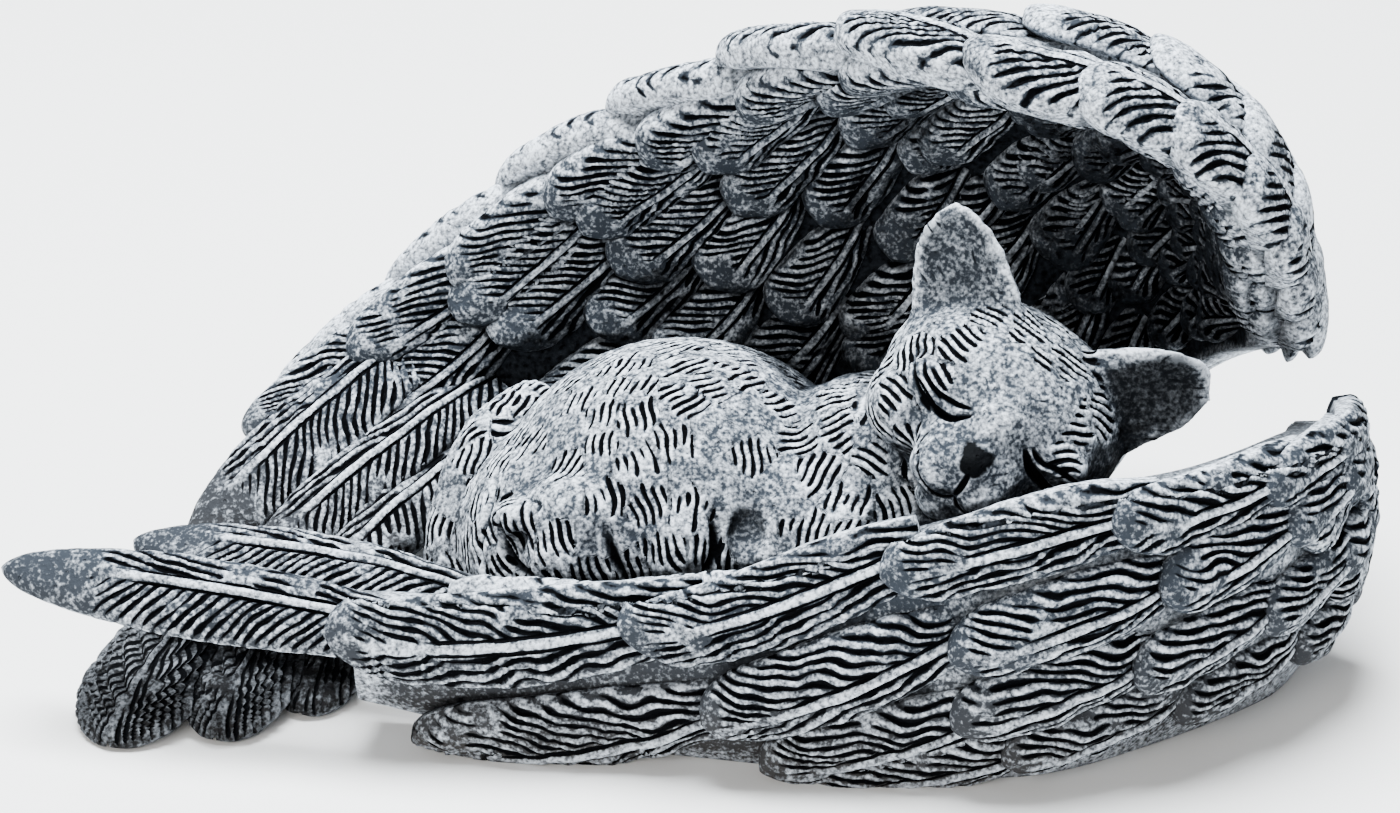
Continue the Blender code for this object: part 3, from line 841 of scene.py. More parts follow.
RIM = {
    "Thickness": FEATHER_THICKNESS * 1.8,
    "Upper barbs": 30.0,
    "Root width": 0.35,
    "Smooth tip": 0.16,
}
STREAKED = {
    "Upper barbs": 20.0,
    "Lower barbs": 8.0,
    "Smooth tip": 0.10,
    "Drift": 3.6,
    "Lumps": 0.0026,
}
TORN = {
    "Upper barbs": 18.0,
    "Lower barbs": 14.0,
    "Smooth tip": 0.0,
    "Drift": 4.0,
    "Raggedness": 0.3,
    "Lumps": 0.0042,
}
TALL, LOW = (back_wing, tall_guide), (front_wing, low_guide)
pieces = [
    lay("tall_wing_inner_feathers_upper", TALL, TALL_INSIDE_UPPER, -1.0, fine_blank, 11),
    lay("tall_wing_inner_feathers_lower", TALL, TALL_INSIDE_LOWER, -1.0, fine_blank, 12),
    lay("hood_coverts", TALL, TALL_HOOD, -1.0, small_blank, 18),
    lay("tall_wing_rim_feathers", TALL, TALL_RIM, -1.0, fine_blank, 13, 0.25, **RIM),
    lay("tall_wing_outer_rim_feathers", TALL, TALL_OUTER_RIM, 1.0, small_blank, 21, 0.6, **RIM),
    lay("tall_wing_outer_feathers", TALL, TALL_OUTSIDE, 1.0, plain_blank, 19),
    lay("low_wing_outer_feathers", LOW, LOW_OUTSIDE, -1.0, long_blank, 14, **STREAKED),
    lay("low_wing_shoulder_feathers", LOW, LOW_SHOULDER, -1.0, fine_blank, 15, **TORN),
    lay("low_wing_inner_feathers", LOW, LOW_INSIDE, 1.0, plain_blank, 16),
]

# %% [markdown]
# ## Loose feathers
#
# Past the shells the feathers lie free: long ones at the wing tips, and a fan of three
# resting on the ground. Each is laid on its own ribbon, with the same tree. A feather is
# given by its root and its tip in shares of the nest, the way it faces, its width, and how
# far it arches in shares of its length.

# %% Ribbons and loose feathers
LONG_FEATHERS = (
    ((-0.17, -0.42, 0.20), (-0.497, -0.29, 0.255), (0.0, -0.75, 0.66), 0.0150, 0.03),
    ((-0.16, -0.30, 0.21), (-0.412, -0.175, 0.235), (0.0, -0.35, 0.94), 0.0150, 0.02),
    ((-0.20, 0.36, 0.36), (-0.392, 0.06, 0.08), (-0.25, -0.70, 0.66), 0.0190, 0.03),
    ((-0.16, 0.30, 0.28), (-0.350, -0.02, 0.06), (-0.15, -0.70, 0.70), 0.0150, 0.03),
    ((-0.16, 0.22, 0.20), (-0.290, -0.06, 0.06), (-0.10, -0.60, 0.80), 0.0150, 0.03),
)
FAN_FEATHERS = (
    ((-0.352, -0.02, 0.08), (-0.420, -0.415, 0.020), (-0.1, -0.25, 0.96), 0.024, 0.04),
    ((-0.300, -0.04, 0.08), (-0.345, -0.400, 0.020), (0.0, -0.25, 0.96), 0.020, 0.04),
    ((-0.250, -0.06, 0.06), (-0.288, -0.330, 0.020), (0.0, -0.25, 0.96), 0.016, 0.04),
)


# A ribbon's rows and columns, its half width in lengths, and its ends in u
RIBBON_ROWS, RIBBON_COLUMNS = 41, 5
RIBBON_HALF = 0.3
RIBBON_START, RIBBON_RUN = 0.02, 0.96
# Tips and roots lie just inside their ribbon's ends
LOOSE_TIP, LOOSE_RUN = 0.979, 0.958


def ribbon(k, root, tip, facing, arch):
    """A loose feather's ribbon, its address u from k to k + 1, and its length."""
    run = tip - root
    length = np.linalg.norm(run)
    sideways = np.cross(facing, run)
    sideways /= np.linalg.norm(sideways)
    face = np.cross(run, sideways) / length
    t = np.linspace(0, 1, RIBBON_ROWS)
    b = np.linspace(-RIBBON_HALF, RIBBON_HALF, RIBBON_COLUMNS)
    t, b = (grid[..., None] for grid in np.meshgrid(t, b, indexing="ij"))
    points = root + run * t + face * arch * length * 4 * t * (1 - t) + sideways * b * length
    address = np.concatenate([k + RIBBON_START + RIBBON_RUN * t, 0.5 + b], -1)
    return (points, np.broadcast_to(face, points.shape), address), length


def lay_loose(name, feathers, form, seed, **changes):
    scale = np.array([NEST_LENGTH, NEST_DEPTH, HOOD_HEIGHT])
    patches, points, sizes, tips, along, across = [], [], [], [], [], []
    for k, (root, tip, facing, width, arch) in enumerate(feathers):
        ends = [np.array(end) * scale + TO_THE_MIDDLE for end in (root, tip)]
        patch, length = ribbon(k, *ends, np.array(facing), arch)
        patches.append(patch)
        points.append(ends[1])
        sizes.append((length, width, 0.0))
        tips.append((k + LOOSE_TIP, 0.5, 0))
        along.append((LOOSE_RUN / length, 0, 0))
        across.append((0, 1 / length, 0))
    guide = guide_of("ribbons", patches)
    mesh = mesh_of(name, points, [])
    set_numbers(mesh, tip=tips, step_along=along, step_across=across, size=sizes)
    set_numbers(mesh, sunk=np.zeros(len(tips)), chance=np.linspace(0, 1, len(tips)))
    values = {**CARVING, "Guide": guide, "Blank": form, "Side": 1.0, "Seed": float(seed)}
    piece = run_tree(put_in_scene(name, mesh), lay_feathers, {**values, "Cup": 0.06, **changes})
    bpy.data.objects.remove(guide)
    print(name, "has", len(tips), "feathers and", triangles(piece.data), "triangles")
    return piece


LONG = {"Tip start": 0.5, "Lower barbs": 8.0}
FAN = {
    "Upper barbs": 12.0,
    "Lower barbs": 12.0,
    "Shaft lean": 0.0,
    "Tip start": 0.70,
    "Smooth tip": -0.06,
    "Barb pitch": 0.0015,
    "Drift": 0.7,
    "Raggedness": 0.35,
}
# How much painted shade darkens the fan
FAN_PAINTED_SHADE = 0.66
pieces.append(lay_loose("loose_tip_feathers", LONG_FEATHERS, long_blank, 17, **LONG))
pieces.append(lay_loose("ground_fan_feathers", FAN_FEATHERS, long_blank, 20, **FAN))
# Painted shade darkens the fan, which lies in the shade and takes less of the pale brush
set_numbers(pieces[-1].data, soot=np.full(len(pieces[-1].data.vertices), FAN_PAINTED_SHADE))

# %% [markdown]
# ## Wing bodies and the nest's floor
#
# Under the feathers each wing is a plain curved slab, thick at the shoulder. Little of it
# shows, only between the feathers, so it stays smooth and the finish gives it its grain. The
# tall one ends short of the rim, where the rim's own feathers close over it.


# %% Slabs and floor
def closed_sheet(top, bottom):
    """Points and faces of a closed solid between two grids of the same shape."""
    rows, columns = top.shape[:2]
    points = np.concatenate([top.reshape(-1, 3), bottom.reshape(-1, 3)])
    index = np.arange(rows * columns).reshape(rows, columns)
    under = index + rows * columns
    faces = grid_faces(rows, columns).tolist()
    faces += (grid_faces(rows, columns)[:, ::-1] + rows * columns).tolist()
    edge = [(i, 0) for i in range(rows)]
    edge += [(rows - 1, j) for j in range(1, columns)]
    edge += [(i, columns - 1) for i in range(rows - 2, -1, -1)]
    edge += [(0, j) for j in range(columns - 2, 0, -1)]
    for here, there in zip(edge, edge[1:] + edge[:1]):
        faces.append([int(i) for i in (index[here], under[here], under[there], index[there])])
    return points, faces


def outward_faces(mesh):
    """Turns the faces of a closed mesh outwards."""
    work = bmesh.new()
    work.from_mesh(mesh)
    bmesh.ops.recalc_face_normals(work, faces=work.faces)
    work.to_mesh(mesh)
    work.free()


def slab(name, surface, rows, columns, top):
    """A wing's body with rows x columns points on each side, from its foot up to v = top."""
    u, v = np.linspace(0, 1, rows), np.linspace(0, top, columns)
    u, v = np.meshgrid(u, v, indexing="ij")
    points, normals = surface(u, v), slopes(surface, u, v)[2]
    half = thickness_at(u)[..., None] / 2
    points, faces = closed_sheet(points + normals * half, points - normals * half)
    points[:, 2] = np.maximum(points[:, 2], 0.0)
    mesh = mesh_of(name, points, faces)
    outward_faces(mesh)
    return put_in_scene(name, mesh)


def egg(centre, radii, axes=np.eye(3), rings=12):
    """An egg as points and faces, with its axes as the rows of axes."""
    a = np.linspace(0, np.pi, rings + 1)[1:-1]
    b = np.linspace(0, 2 * np.pi, 2 * rings, endpoint=False)
    a, b = np.meshgrid(a, b, indexing="ij")
    unit = np.stack([np.sin(a) * np.cos(b), np.sin(a) * np.sin(b), np.cos(a)], -1)
    unit = np.vstack([unit.reshape(-1, 3), (0, 0, 1), (0, 0, -1)])
    points = np.asarray(centre) + (unit * np.asarray(radii)) @ np.asarray(axes)
    wide, tall = 2 * rings, rings - 1
    top, low = len(unit) - 2, len(unit) - 1
    faces = []
    for j in range(wide):
        k = (j + 1) % wide
        faces.append((top, j, k))
        faces.append((low, (tall - 1) * wide + k, (tall - 1) * wide + j))
        for i in range(tall - 1):
            faces.append((i * wide + j, (i + 1) * wide + j, (i + 1) * wide + k, i * wide + k))
    return points, faces


def nest_floor():
    """The floor's upper half, with a flat underside on the ground."""
    middle = np.array((0.05 * NEST_LENGTH, -0.10 * NEST_DEPTH, 0)) + TO_THE_MIDDLE
    radii = (0.30 * NEST_LENGTH, 0.31 * NEST_DEPTH, FLOOR_THICKNESS)
    points, faces = egg(middle, radii, rings=24)
    points[:, 2] = np.maximum(points[:, 2], 0.0)
    mesh = mesh_of("nest_floor", points, faces)
    outward_faces(mesh)
    return put_in_scene("nest_floor", mesh)


bodies = [
    slab("tall_wing_body", back_wing, 90, 60, 0.95),
    slab("low_wing_body", front_wing, 70, 24, 1.0),
    nest_floor(),
]
for body in bodies:
    body.data.materials.append(cast_stone)
    body.data.polygons.foreach_set("use_smooth", [True] * len(body.data.polygons))
pieces += bodies
print("The slabs and the floor have", sum(triangles(b.data) for b in bodies), "triangles")

# %% [markdown]
# ## The kitten's forms
#
# The kitten is modelled as in clay: eggs for the haunch, ribs, shoulders, legs and head, a
# row of small balls for the tail and two cupped slabs for the ears. A voxel remesh melts
# them into one skin and a few rounds of smoothing take the seams away.

# %% Forms of the kitten
CAT_FORMS = (
    ((-0.03, -0.05, 0.25), (0.35, 0.33, 0.31)),
    ((-0.19, -0.10, 0.20), (0.26, 0.27, 0.25)),
    ((-0.17, -0.22, 0.26), (0.17, 0.14, 0.18)),
    ((-0.21, -0.27, 0.36), (0.10, 0.08, 0.07)),
    ((-0.31, -0.28, 0.345), (0.07, 0.045, 0.04)),
    ((-0.245, -0.32, 0.25), (0.075, 0.065, 0.12)),
    ((-0.16, -0.36, 0.12), (0.15, 0.07, 0.09)),
    ((-0.036, -0.335, 0.29), (0.07, 0.065, 0.11)),
    ((0.17, -0.20, 0.24), (0.18, 0.19, 0.22)),
    ((0.25, -0.31, 0.27), (0.13, 0.10, 0.14)),
    ((0.38, -0.35, 0.27), (0.15, 0.085, 0.10)),
    ((0.32, -0.12, 0.34), (0.20, 0.20, 0.20)),
    ((0.42, -0.18, 0.33), (0.18, 0.20, 0.20)),
)
TAIL_ROUTE = (
    (-0.32, 0.14, 0.36),
    (-0.40, 0.05, 0.33),
    (-0.45, -0.03, 0.23),
    (-0.46, -0.10, 0.14),
    (-0.42, -0.18, 0.10),
    (-0.31, -0.26, 0.12),
    (-0.20, -0.32, 0.14),
)
TAIL_RADIUS = 0.056
HEAD_PLACE = (0.528, -0.27, 0.55)
HEAD_SIDE = (0.834, -0.257, -0.489)
HEAD_NOSE = (-0.143, -0.956, 0.258)
HEAD_FORMS = (
    ((0.0, 0.02, -0.04), (0.44, 0.345, 0.40)),
    ((-0.25, -0.12, 0.06), (0.18, 0.17, 0.21)),
    ((0.25, -0.12, 0.06), (0.18, 0.17, 0.21)),
    ((0.0, 0.00, 0.28), (0.12, 0.16, 0.14)),
    ((0.0, -0.13, 0.26), (0.21, 0.15, 0.19)),
    ((-0.085, -0.195, 0.35), (0.105, 0.09, 0.105)),
    ((0.085, -0.195, 0.35), (0.105, 0.09, 0.105)),
    ((0.0, -0.31, 0.26), (0.11, 0.07, 0.12)),
    ((0.0, -0.10, 0.45), (0.06, 0.045, 0.045)),
    ((-0.24, 0.02, 0.26), (0.12, 0.08, 0.08)),
    ((0.24, 0.02, 0.26), (0.12, 0.08, 0.08)),
)
EAR_ROOT = (0.25, 0.20, 0.0)
EAR_TIP = (0.52, 0.53, 0.0)
EAR_WIDTH = 0.40
EAR_TURN = 0.25
EAR_CUP = 0.22
MELTING_VOXEL, MELTING_PASSES = 0.0011, 12
SKIN_VOXEL, SKIN_PASSES = 0.00066, 3


def head_axes():
    """Towards the head's left cheek, its crown and its nose, as rows."""
    side = np.array(HEAD_SIDE) / np.linalg.norm(HEAD_SIDE)
    nose = np.array(HEAD_NOSE) - side * (np.array(HEAD_NOSE) @ side)
    nose /= np.linalg.norm(nose)
    return np.array([side, np.cross(nose, side), nose])


AXES = head_axes()
HEAD_MIDDLE = np.array(HEAD_PLACE) * CAT_LENGTH + TO_THE_MIDDLE


def on_head(point):
    """A place given across, up and forward in shares of the head's width, in the frame."""
    return HEAD_MIDDLE + (np.asarray(point, float) * HEAD_WIDTH) @ AXES


def ear_frame(mirror):
    """An ear's root, its run to the tip, the way across it, the way it faces, its length."""
    root, tip = (on_head(np.array(end) * (mirror, 1, 1)) for end in (EAR_ROOT, EAR_TIP))
    run = tip - root
    length = np.linalg.norm(run)
    sideways = np.cross(AXES[2] + mirror * EAR_TURN * AXES[0], run)
    sideways /= np.linalg.norm(sideways)
    return root, run, sideways, np.cross(run, sideways) / length, length


def ear(mirror):
    """An ear as a cupped slab, broad at its root, with a rounded point."""
    root, run, sideways, face, _ = ear_frame(mirror)
    t, s = np.linspace(0, 1, 25), np.sin(np.linspace(-0.5, 0.5, 17) * np.pi)
    t, s = np.meshgrid(t, s, indexing="ij")
    width = EAR_WIDTH * HEAD_WIDTH
    half = np.maximum((1 - t**2) ** 0.52, 0.05) * width / 2
    middle = root + run * t[..., None] + sideways * (s * half)[..., None]
    plump = FEATHER_THICKNESS / 2 * np.sqrt(1 - 0.85 * s**4) * (1 - 0.5 * t**8)
    rise = EAR_CUP * width * s**2 * t
    return closed_sheet(
        middle + face * (rise + plump)[..., None], middle + face * (rise - plump)[..., None]
    )


def kitten_forms():
    made = []
    for centre, radii in CAT_FORMS:
        middle = np.array(centre) * CAT_LENGTH + TO_THE_MIDDLE
        made.append(egg(middle, np.array(radii) * CAT_LENGTH, rings=24))
    for t in np.linspace(0, 1, 40):
        at = through(TAIL_ROUTE, t) * CAT_LENGTH + TO_THE_MIDDLE
        made.append(egg(at, np.full(3, TAIL_RADIUS * CAT_LENGTH)))
    for centre, radii in HEAD_FORMS:
        made.append(egg(on_head(centre), np.array(radii) * HEAD_WIDTH, AXES, 20))
    return made + [ear(-1), ear(1)]


def melted(name, solids):
    """One skin over all the solids, cut flat at the ground."""
    clay = put_in_scene(name, mesh_of(name, *in_one(solids)))
    outward_faces(clay.data)
    for voxel, passes in ((MELTING_VOXEL, MELTING_PASSES), (SKIN_VOXEL, SKIN_PASSES)):
        remesh = clay.modifiers.new("Melt together", "REMESH")
        remesh.mode = "VOXEL"
        remesh.voxel_size = voxel
        smooth = clay.modifiers.new("Even out", "SMOOTH")
        smooth.factor = 0.5
        smooth.iterations = passes
    graph = bpy.context.evaluated_depsgraph_get()
    graph.update()
    mesh = bpy.data.meshes.new_from_object(clay.evaluated_get(graph))
    clay.modifiers.clear()
    clay.data = mesh
    where = places(mesh)
    where[:, 2] = np.maximum(where[:, 2], 0.0)
    mesh.vertices.foreach_set("co", where.astype(np.float32).ravel())
    mesh.update()
    return clay


def places(mesh):
    """The points of a mesh as an array."""
    flat = np.zeros(len(mesh.vertices) * 3, np.float32)
    mesh.vertices.foreach_get("co", flat)
    return flat.reshape(-1, 3).astype(float)


kitten = melted("kitten", kitten_forms())
print("The kitten's skin has", triangles(kitten.data), "triangles")

# %% [markdown]
# ## Tufts of fur
#
# The fur is cut as tufts: a few short side-by-side grooves that follow the body, with smooth
# stone left here and there. COMBING says which way the fur lies at a few places of the view
# from the front. Each point of the skin belongs to the nearest tuft and counts the grooves
# across it, in the same attributes as the feathers have.

# %% Combing and tufts
CAMERA_ELEVATION = 26.0
VIEW_TURN = math.radians(CAMERA_ELEVATION)
VIEW_UP = np.array([0.0, math.sin(VIEW_TURN), math.cos(VIEW_TURN)])
VIEW_AHEAD = np.array([0.0, math.cos(VIEW_TURN), -math.sin(VIEW_TURN)])
VIEW_CENTRE = np.array([0.0, 0.0, 0.043]) + TO_THE_MIDDLE
# Right and up from the view's centre in millimetres, and the way that the fur lies there
COMBING = (
    ((22, 4), (-1.0, 0.2)),
    ((22, -3), (-1.0, -0.3)),
    ((20, -14), (-0.6, -1.0)),
    ((13, -13), (-0.15, -1.0)),
    ((7, 7), (-0.6, -0.8)),
    ((0, 4), (-0.7, -0.7)),
    ((-11, -9), (0.35, -1.0)),
    ((-6, -8), (0.35, -1.0)),
    ((-19, 1), (0.1, -1.0)),
    ((-30, 0), (-0.3, -1.0)),
    ((-27, -7), (-0.35, -1.0)),
    ((-35, -9), (-0.35, -1.0)),
    ((3, -13), (0.4, -1.0)),
    ((-4, -15), (-0.1, -1.0)),
    ((28, -21), (-0.4, -1.0)),
    ((-46, -21), (0.35, -1.0)),
    ((-44, -29), (0.6, -0.8)),
    ((-36, -35), (1.0, -0.3)),
    ((-46, -13), (-0.1, -1.0)),
    ((38, 17), (0.3, -1.0)),
    ((45, 16), (0.6, -1.0)),
    ((29, 8), (1.0, -0.6)),
    ((33, -3), (1.0, -0.4)),
    ((30, -9), (1.0, -0.25)),
    ((48, 2), (0.1, -1.0)),
    ((56, -9), (1.0, 0.35)),
    ((73, -4), (1.0, -0.35)),
    ((72, -12), (1.0, -0.2)),
    ((76, 4), (1.0, 0.4)),
    ((46, 33), (0.25, -1.0)),
)
TUFT_GAP, TUFT_TRIES = 0.0066, 20000
FUR_PITCH = 0.00165
# The share of tufts that are left smooth, and how far the others turn, bend and fan out
SMOOTH_SHARE = 0.18
TURN_SPREAD, BEND_SPREAD, FAN_SPREAD = 0.12, 18.0, 25.0
# How far from a groove's end and from a tuft's edge it takes to reach its full depth
END_FADE, EDGE_FADE = 0.0012, 0.0009
# How deep the fur still is on the forehead and the muzzle, and on the ears
FACE_FUR, EAR_FUR = 0.12, 0.15
FAR_FROM_SHAFT = 9.0
# How much painted shade darkens the inside of each ear
EAR_SHADES = {-1: 0.50, 1: 0.88}


def view_place(points):
    """Where points show in the view from the front, right and up, in metres."""
    return np.stack([points[..., 0] - VIEW_CENTRE[0], (points - VIEW_CENTRE) @ VIEW_UP], -1)


def combed(points, normals):
    """The way the fur lies at each point, along the skin."""
    where = view_place(points) * 1000
    centres = np.array([c for c, _ in COMBING], float)
    ways = np.array([w for _, w in COMBING], float)
    ways /= np.linalg.norm(ways, axis=1, keepdims=True)
    near = 1 / (((where[:, None] - centres) ** 2).sum(-1) + 4.0) ** 1.5
    way = near @ ways
    lie = way[:, :1] * np.array([1.0, 0, 0]) + way[:, 1:] * VIEW_UP
    lie -= normals * (lie * normals).sum(-1, keepdims=True)
    return lie / np.maximum(np.linalg.norm(lie, axis=1, keepdims=True), 1e-9)


def skin_normals(skin):
    return np.array([tuple(vertex.normal) for vertex in skin.data.vertices])


def two_nearest(points, centres):
    """The nearest centre of each point, and how much farther away the next one is."""
    nearest, spare = [], []
    for some in np.array_split(points, 20):
        far = np.sqrt(((some[:, None] - centres) ** 2).sum(-1))
        order = np.argpartition(far, 1, axis=1)[:, :2]
        pair = np.take_along_axis(far, order, 1)
        first = pair.argmin(1)
        nearest.append(order[np.arange(len(some)), first])
        spare.append(np.abs(pair[:, 1] - pair[:, 0]))
    return np.concatenate(nearest), np.concatenate(spare)


def comb_fur(skin, seed):
    """Counts the grooves of fur across each point's tuft and stores them on the skin."""
    chance = np.random.default_rng(seed)
    where, normals = places(skin.data), skin_normals(skin)
    chosen = []
    for i in chance.permutation(len(where))[:TUFT_TRIES]:
        if not chosen or np.linalg.norm(where[chosen] - where[i], axis=1).min() > TUFT_GAP:
            chosen.append(i)
    lie = combed(where[chosen], normals[chosen])
    lie += np.cross(normals[chosen], lie) * chance.normal(0, TURN_SPREAD, (len(chosen), 1))
    aside = np.cross(normals[chosen], lie)
    bend, fan = (chance.normal(0, spread, len(chosen)) for spread in (BEND_SPREAD, FAN_SPREAD))
    smooth = chance.random(len(chosen)) < SMOOTH_SHARE
    tuft, spare = two_nearest(where, where[chosen])
    away = where - where[chosen][tuft]
    along, across = (away * lie[tuft]).sum(-1), (away * aside[tuft]).sum(-1)
    count = (across * (1 + fan[tuft] * along) + bend[tuft] * along**2) / FUR_PITCH
    count += 0.12 * np.sin(along * 900 + 2.4 * tuft)
    # Every groove of a tuft ends somewhere else
    whim = np.sin(np.round(count) * 12.9898 + tuft * 78.233) * 43758.5453
    whim -= np.floor(whim)
    reach = TUFT_GAP * (0.25 + 0.65 * whim)
    start = TUFT_GAP * 0.3 * (np.modf(whim * 7)[0] - 0.5)
    depth = np.clip((reach - np.abs(along - start)) / END_FADE, 0, 1)
    depth *= np.clip(spare / EDGE_FADE, 0, 1)
    depth *= np.where(smooth[tuft], 0.0, 0.75 + 0.25 * whim)
    x, up, ahead = ((where - HEAD_MIDDLE) / HEAD_WIDTH @ AXES.T).T
    forehead = (abs(x) < 0.20) & (up > -0.10) & (up < 0.26) & (ahead > 0.1)
    muzzle = (abs(x) < 0.17) & (up <= -0.10) & (ahead > 0.25)
    depth = np.where(forehead | muzzle, FACE_FUR, 1.0) * depth
    for mirror in EAR_SHADES:
        root, run, sideways, _, length = ear_frame(mirror)
        past_root = (where - root) @ run / length**2 > 0.15
        on_ear = past_root & (abs((where - root) @ sideways) < 0.013)
        depth = np.where(on_ear, EAR_FUR, 1.0) * depth
    clear = np.zeros(len(where))
    barbs, carving = (count, count, clear + FAR_FROM_SHAFT), (depth, clear, clear)
    set_numbers(skin.data, barbs=np.stack(barbs, -1), carving=np.stack(carving, -1))
    return len(chosen)


print("The fur has", comb_fur(kitten, 21), "tufts")

# %% [markdown]
# ## The sleeping face and the creases
#
# Each closed eye is two dark crescents with the lid's thin edge between them. The nose is
# dark, with a slit under it and an arc under each whisker pad. Deeper creases part the tail,
# the foot, the knee and the arm. All are drawn as curves and thrown onto the skin, whose
# faces are split there so that a thin line stays sharp. The lines of the face take full dark
# wash and painted shade, and the creases less.

# %% Lines of the face and the body
# Each line's points across and up in shares of the head's width, its width and its depth
FACE_LINES = (
    # The eye on the left of the view, under its lid's edge and over it
    (
        ((-0.365, 0.075), (-0.325, 0.005), (-0.240, -0.045), (-0.150, -0.040), (-0.090, 0.015)),
        0.00115,
        0.0018,
    ),
    (
        ((-0.320, 0.070), (-0.285, 0.030), (-0.220, 0.006), (-0.150, 0.010), (-0.100, 0.030)),
        0.00085,
        0.0011,
    ),
    # The eye on the right
    (
        ((0.350, -0.030), (0.310, -0.070), (0.255, -0.070), (0.180, -0.040), (0.120, 0.015)),
        0.00135,
        0.0020,
    ),
    (
        ((0.345, 0.000), (0.305, 0.006), (0.250, 0.010), (0.190, 0.000), (0.140, 0.026)),
        0.00085,
        0.0012,
    ),
    # The slit under the nose and the arcs under the whisker pads
    (((0.010, -0.140), (0.012, -0.190), (0.010, -0.240)), 0.00080, 0.0014),
    (
        ((-0.165, -0.190), (-0.135, -0.240), (-0.080, -0.268), (-0.020, -0.268), (0.010, -0.240)),
        0.00085,
        0.0014,
    ),
    (
        ((0.165, -0.190), (0.135, -0.240), (0.090, -0.268), (0.040, -0.266), (0.010, -0.240)),
        0.00075,
        0.0010,
    ),
)
# Creases of the body, right and up from the view's centre in millimetres
BODY_LINES = (
    # The tail's inner edge, the foot's lower edge and the little hollow over the heel
    (((-36.8, -11.0), (-38.2, -18.3), (-40.0, -25.5), (-38.0, -31.5)), 0.0015, 0.0016),
    (((-36.8, -19.2), (-34.1, -27.1), (-29.2, -31.3)), 0.0018, 0.0020),
    (((-31.8, -15.4), (-28.8, -17.2), (-29.5, -19.2)), 0.0010, 0.0010),
    # Both sides of the knee
    (((-16.9, -20.6), (-15.3, -27.1), (-13.0, -31.4)), 0.0017, 0.0018),
    (((2.2, -18.9), (2.9, -25.5), (0.5, -31.1)), 0.0018, 0.0020),
)
# Broad hollows between the limbs, given in the same way
HOLLOWS = (
    (((5.0, -21.5), (11.5, -23.5)), 0.0062, 0.0022),
    (((-33.0, -22.5), (-31.5, -25.0)), 0.0028, 0.0014),
)
# Middle and half sizes of the nose, across, up and ahead in shares of the head's width
NOSE_MIDDLE = np.array((0.0, -0.095, 0.46))
NOSE_HALF = np.array((0.070, 0.056, 0.18))
FINE_REACH = 0.0020
# How much dark wash and painted shade the creases get beside the lines of the face
CREASE_WASH_AND_SHADE = 0.4
Line = namedtuple("Line", "points width depth ink")


def thrown(skin, rows, start_of, way, ink):
    """Curves drawn in front of the skin and thrown onto it along one way."""
    tree = BVHTree.FromPolygons(
        [v.co for v in skin.data.vertices], [tuple(p.vertices) for p in skin.data.polygons]
    )
    lines = []
    for points, width, depth in rows:
        starts = [start_of(*point) for point in through(points, np.linspace(0, 1, 40))]
        hits = [tree.ray_cast(Vector(start), Vector(way))[0] for start in starts]
        lines.append(Line(np.array([hit for hit in hits if hit is not None]), width, depth, ink))
    return lines


def over_face(across, up):
    return on_head((across, up, 1.0))


def over_body(right, up):
    return VIEW_CENTRE + np.array([right, 0, 0]) / 1000 + VIEW_UP * up / 1000 - VIEW_AHEAD * 0.2


def split_near(skin, lines):
    """Splits the faces near thin lines into nine."""
    work = bmesh.new()
    work.from_mesh(skin.data)
    points = np.concatenate([line.points for line in lines])
    near = {
        vertex
        for vertex in work.verts
        if np.linalg.norm(points - np.array(vertex.co), axis=1).min() < FINE_REACH
    }
    edges = [edge for edge in work.edges if near.issuperset(edge.verts)]
    bmesh.ops.subdivide_edges(work, edges=edges, cuts=2, use_grid_fill=True)
    work.to_mesh(skin.data)
    work.free()


def dark_paint_and_shade_on(skin):
    """How dark each point is: the nose's own dark paint, and painted shade inside the ears."""
    where, normals = places(skin.data), skin_normals(skin)
    there = (where - HEAD_MIDDLE) / HEAD_WIDTH @ AXES.T
    across, up, ahead = ((there - NOSE_MIDDLE) / NOSE_HALF).T
    # The nose is a box with round corners that narrows downwards
    across = across / np.clip(0.80 + 0.25 * up, 0.5, 1.1)
    soot = np.clip((1.0 - (across**4 + up**4 + ahead**4) ** 0.25) * 8, 0, 1)
    # Painted shade in the cup of each ear
    for mirror, shade in EAR_SHADES.items():
        root, run, sideways, face, length = ear_frame(mirror)
        t = (where - root) @ run / length**2
        s = (where - root) @ sideways / (EAR_WIDTH * HEAD_WIDTH / 2)
        inside = np.clip((1 - t) * 5, 0, 1) * np.clip(t * 6 - 0.3, 0, 1)
        inside *= np.clip((0.72 - abs(s)) * 6, 0, 1)
        soot = np.maximum(soot, inside * shade * np.clip(normals @ face * 2 - 0.2, 0, 1))
    return soot


def lines_mesh(name, lines):
    """All lines as one mesh of edges, with each point's width, depth, and its dark wash and
    painted shade.
    """
    points, edges, widths, depths, line_washes_and_shades, count = [], [], [], [], [], 0
    for line in lines:
        n = len(line.points)
        share = np.sin(np.pi * (np.arange(n) + 0.6) / (n + 0.2)) ** 0.5
        points.append(line.points)
        widths.append(line.width * (0.55 + 0.45 * share))
        depths.append(line.depth * share)
        line_washes_and_shades.append(line.ink * share)
        edges += [(count + k, count + k + 1) for k in range(n - 1)]
        count += n
    mesh = mesh_of(name, np.concatenate(points), [], edges)
    widths, depths, line_washes_and_shades = (np.concatenate(values) for values in (widths, depths, line_washes_and_shades))
    set_numbers(mesh, width=widths, depth=depths, ink=line_washes_and_shades)
    return put_in_scene(name, mesh)


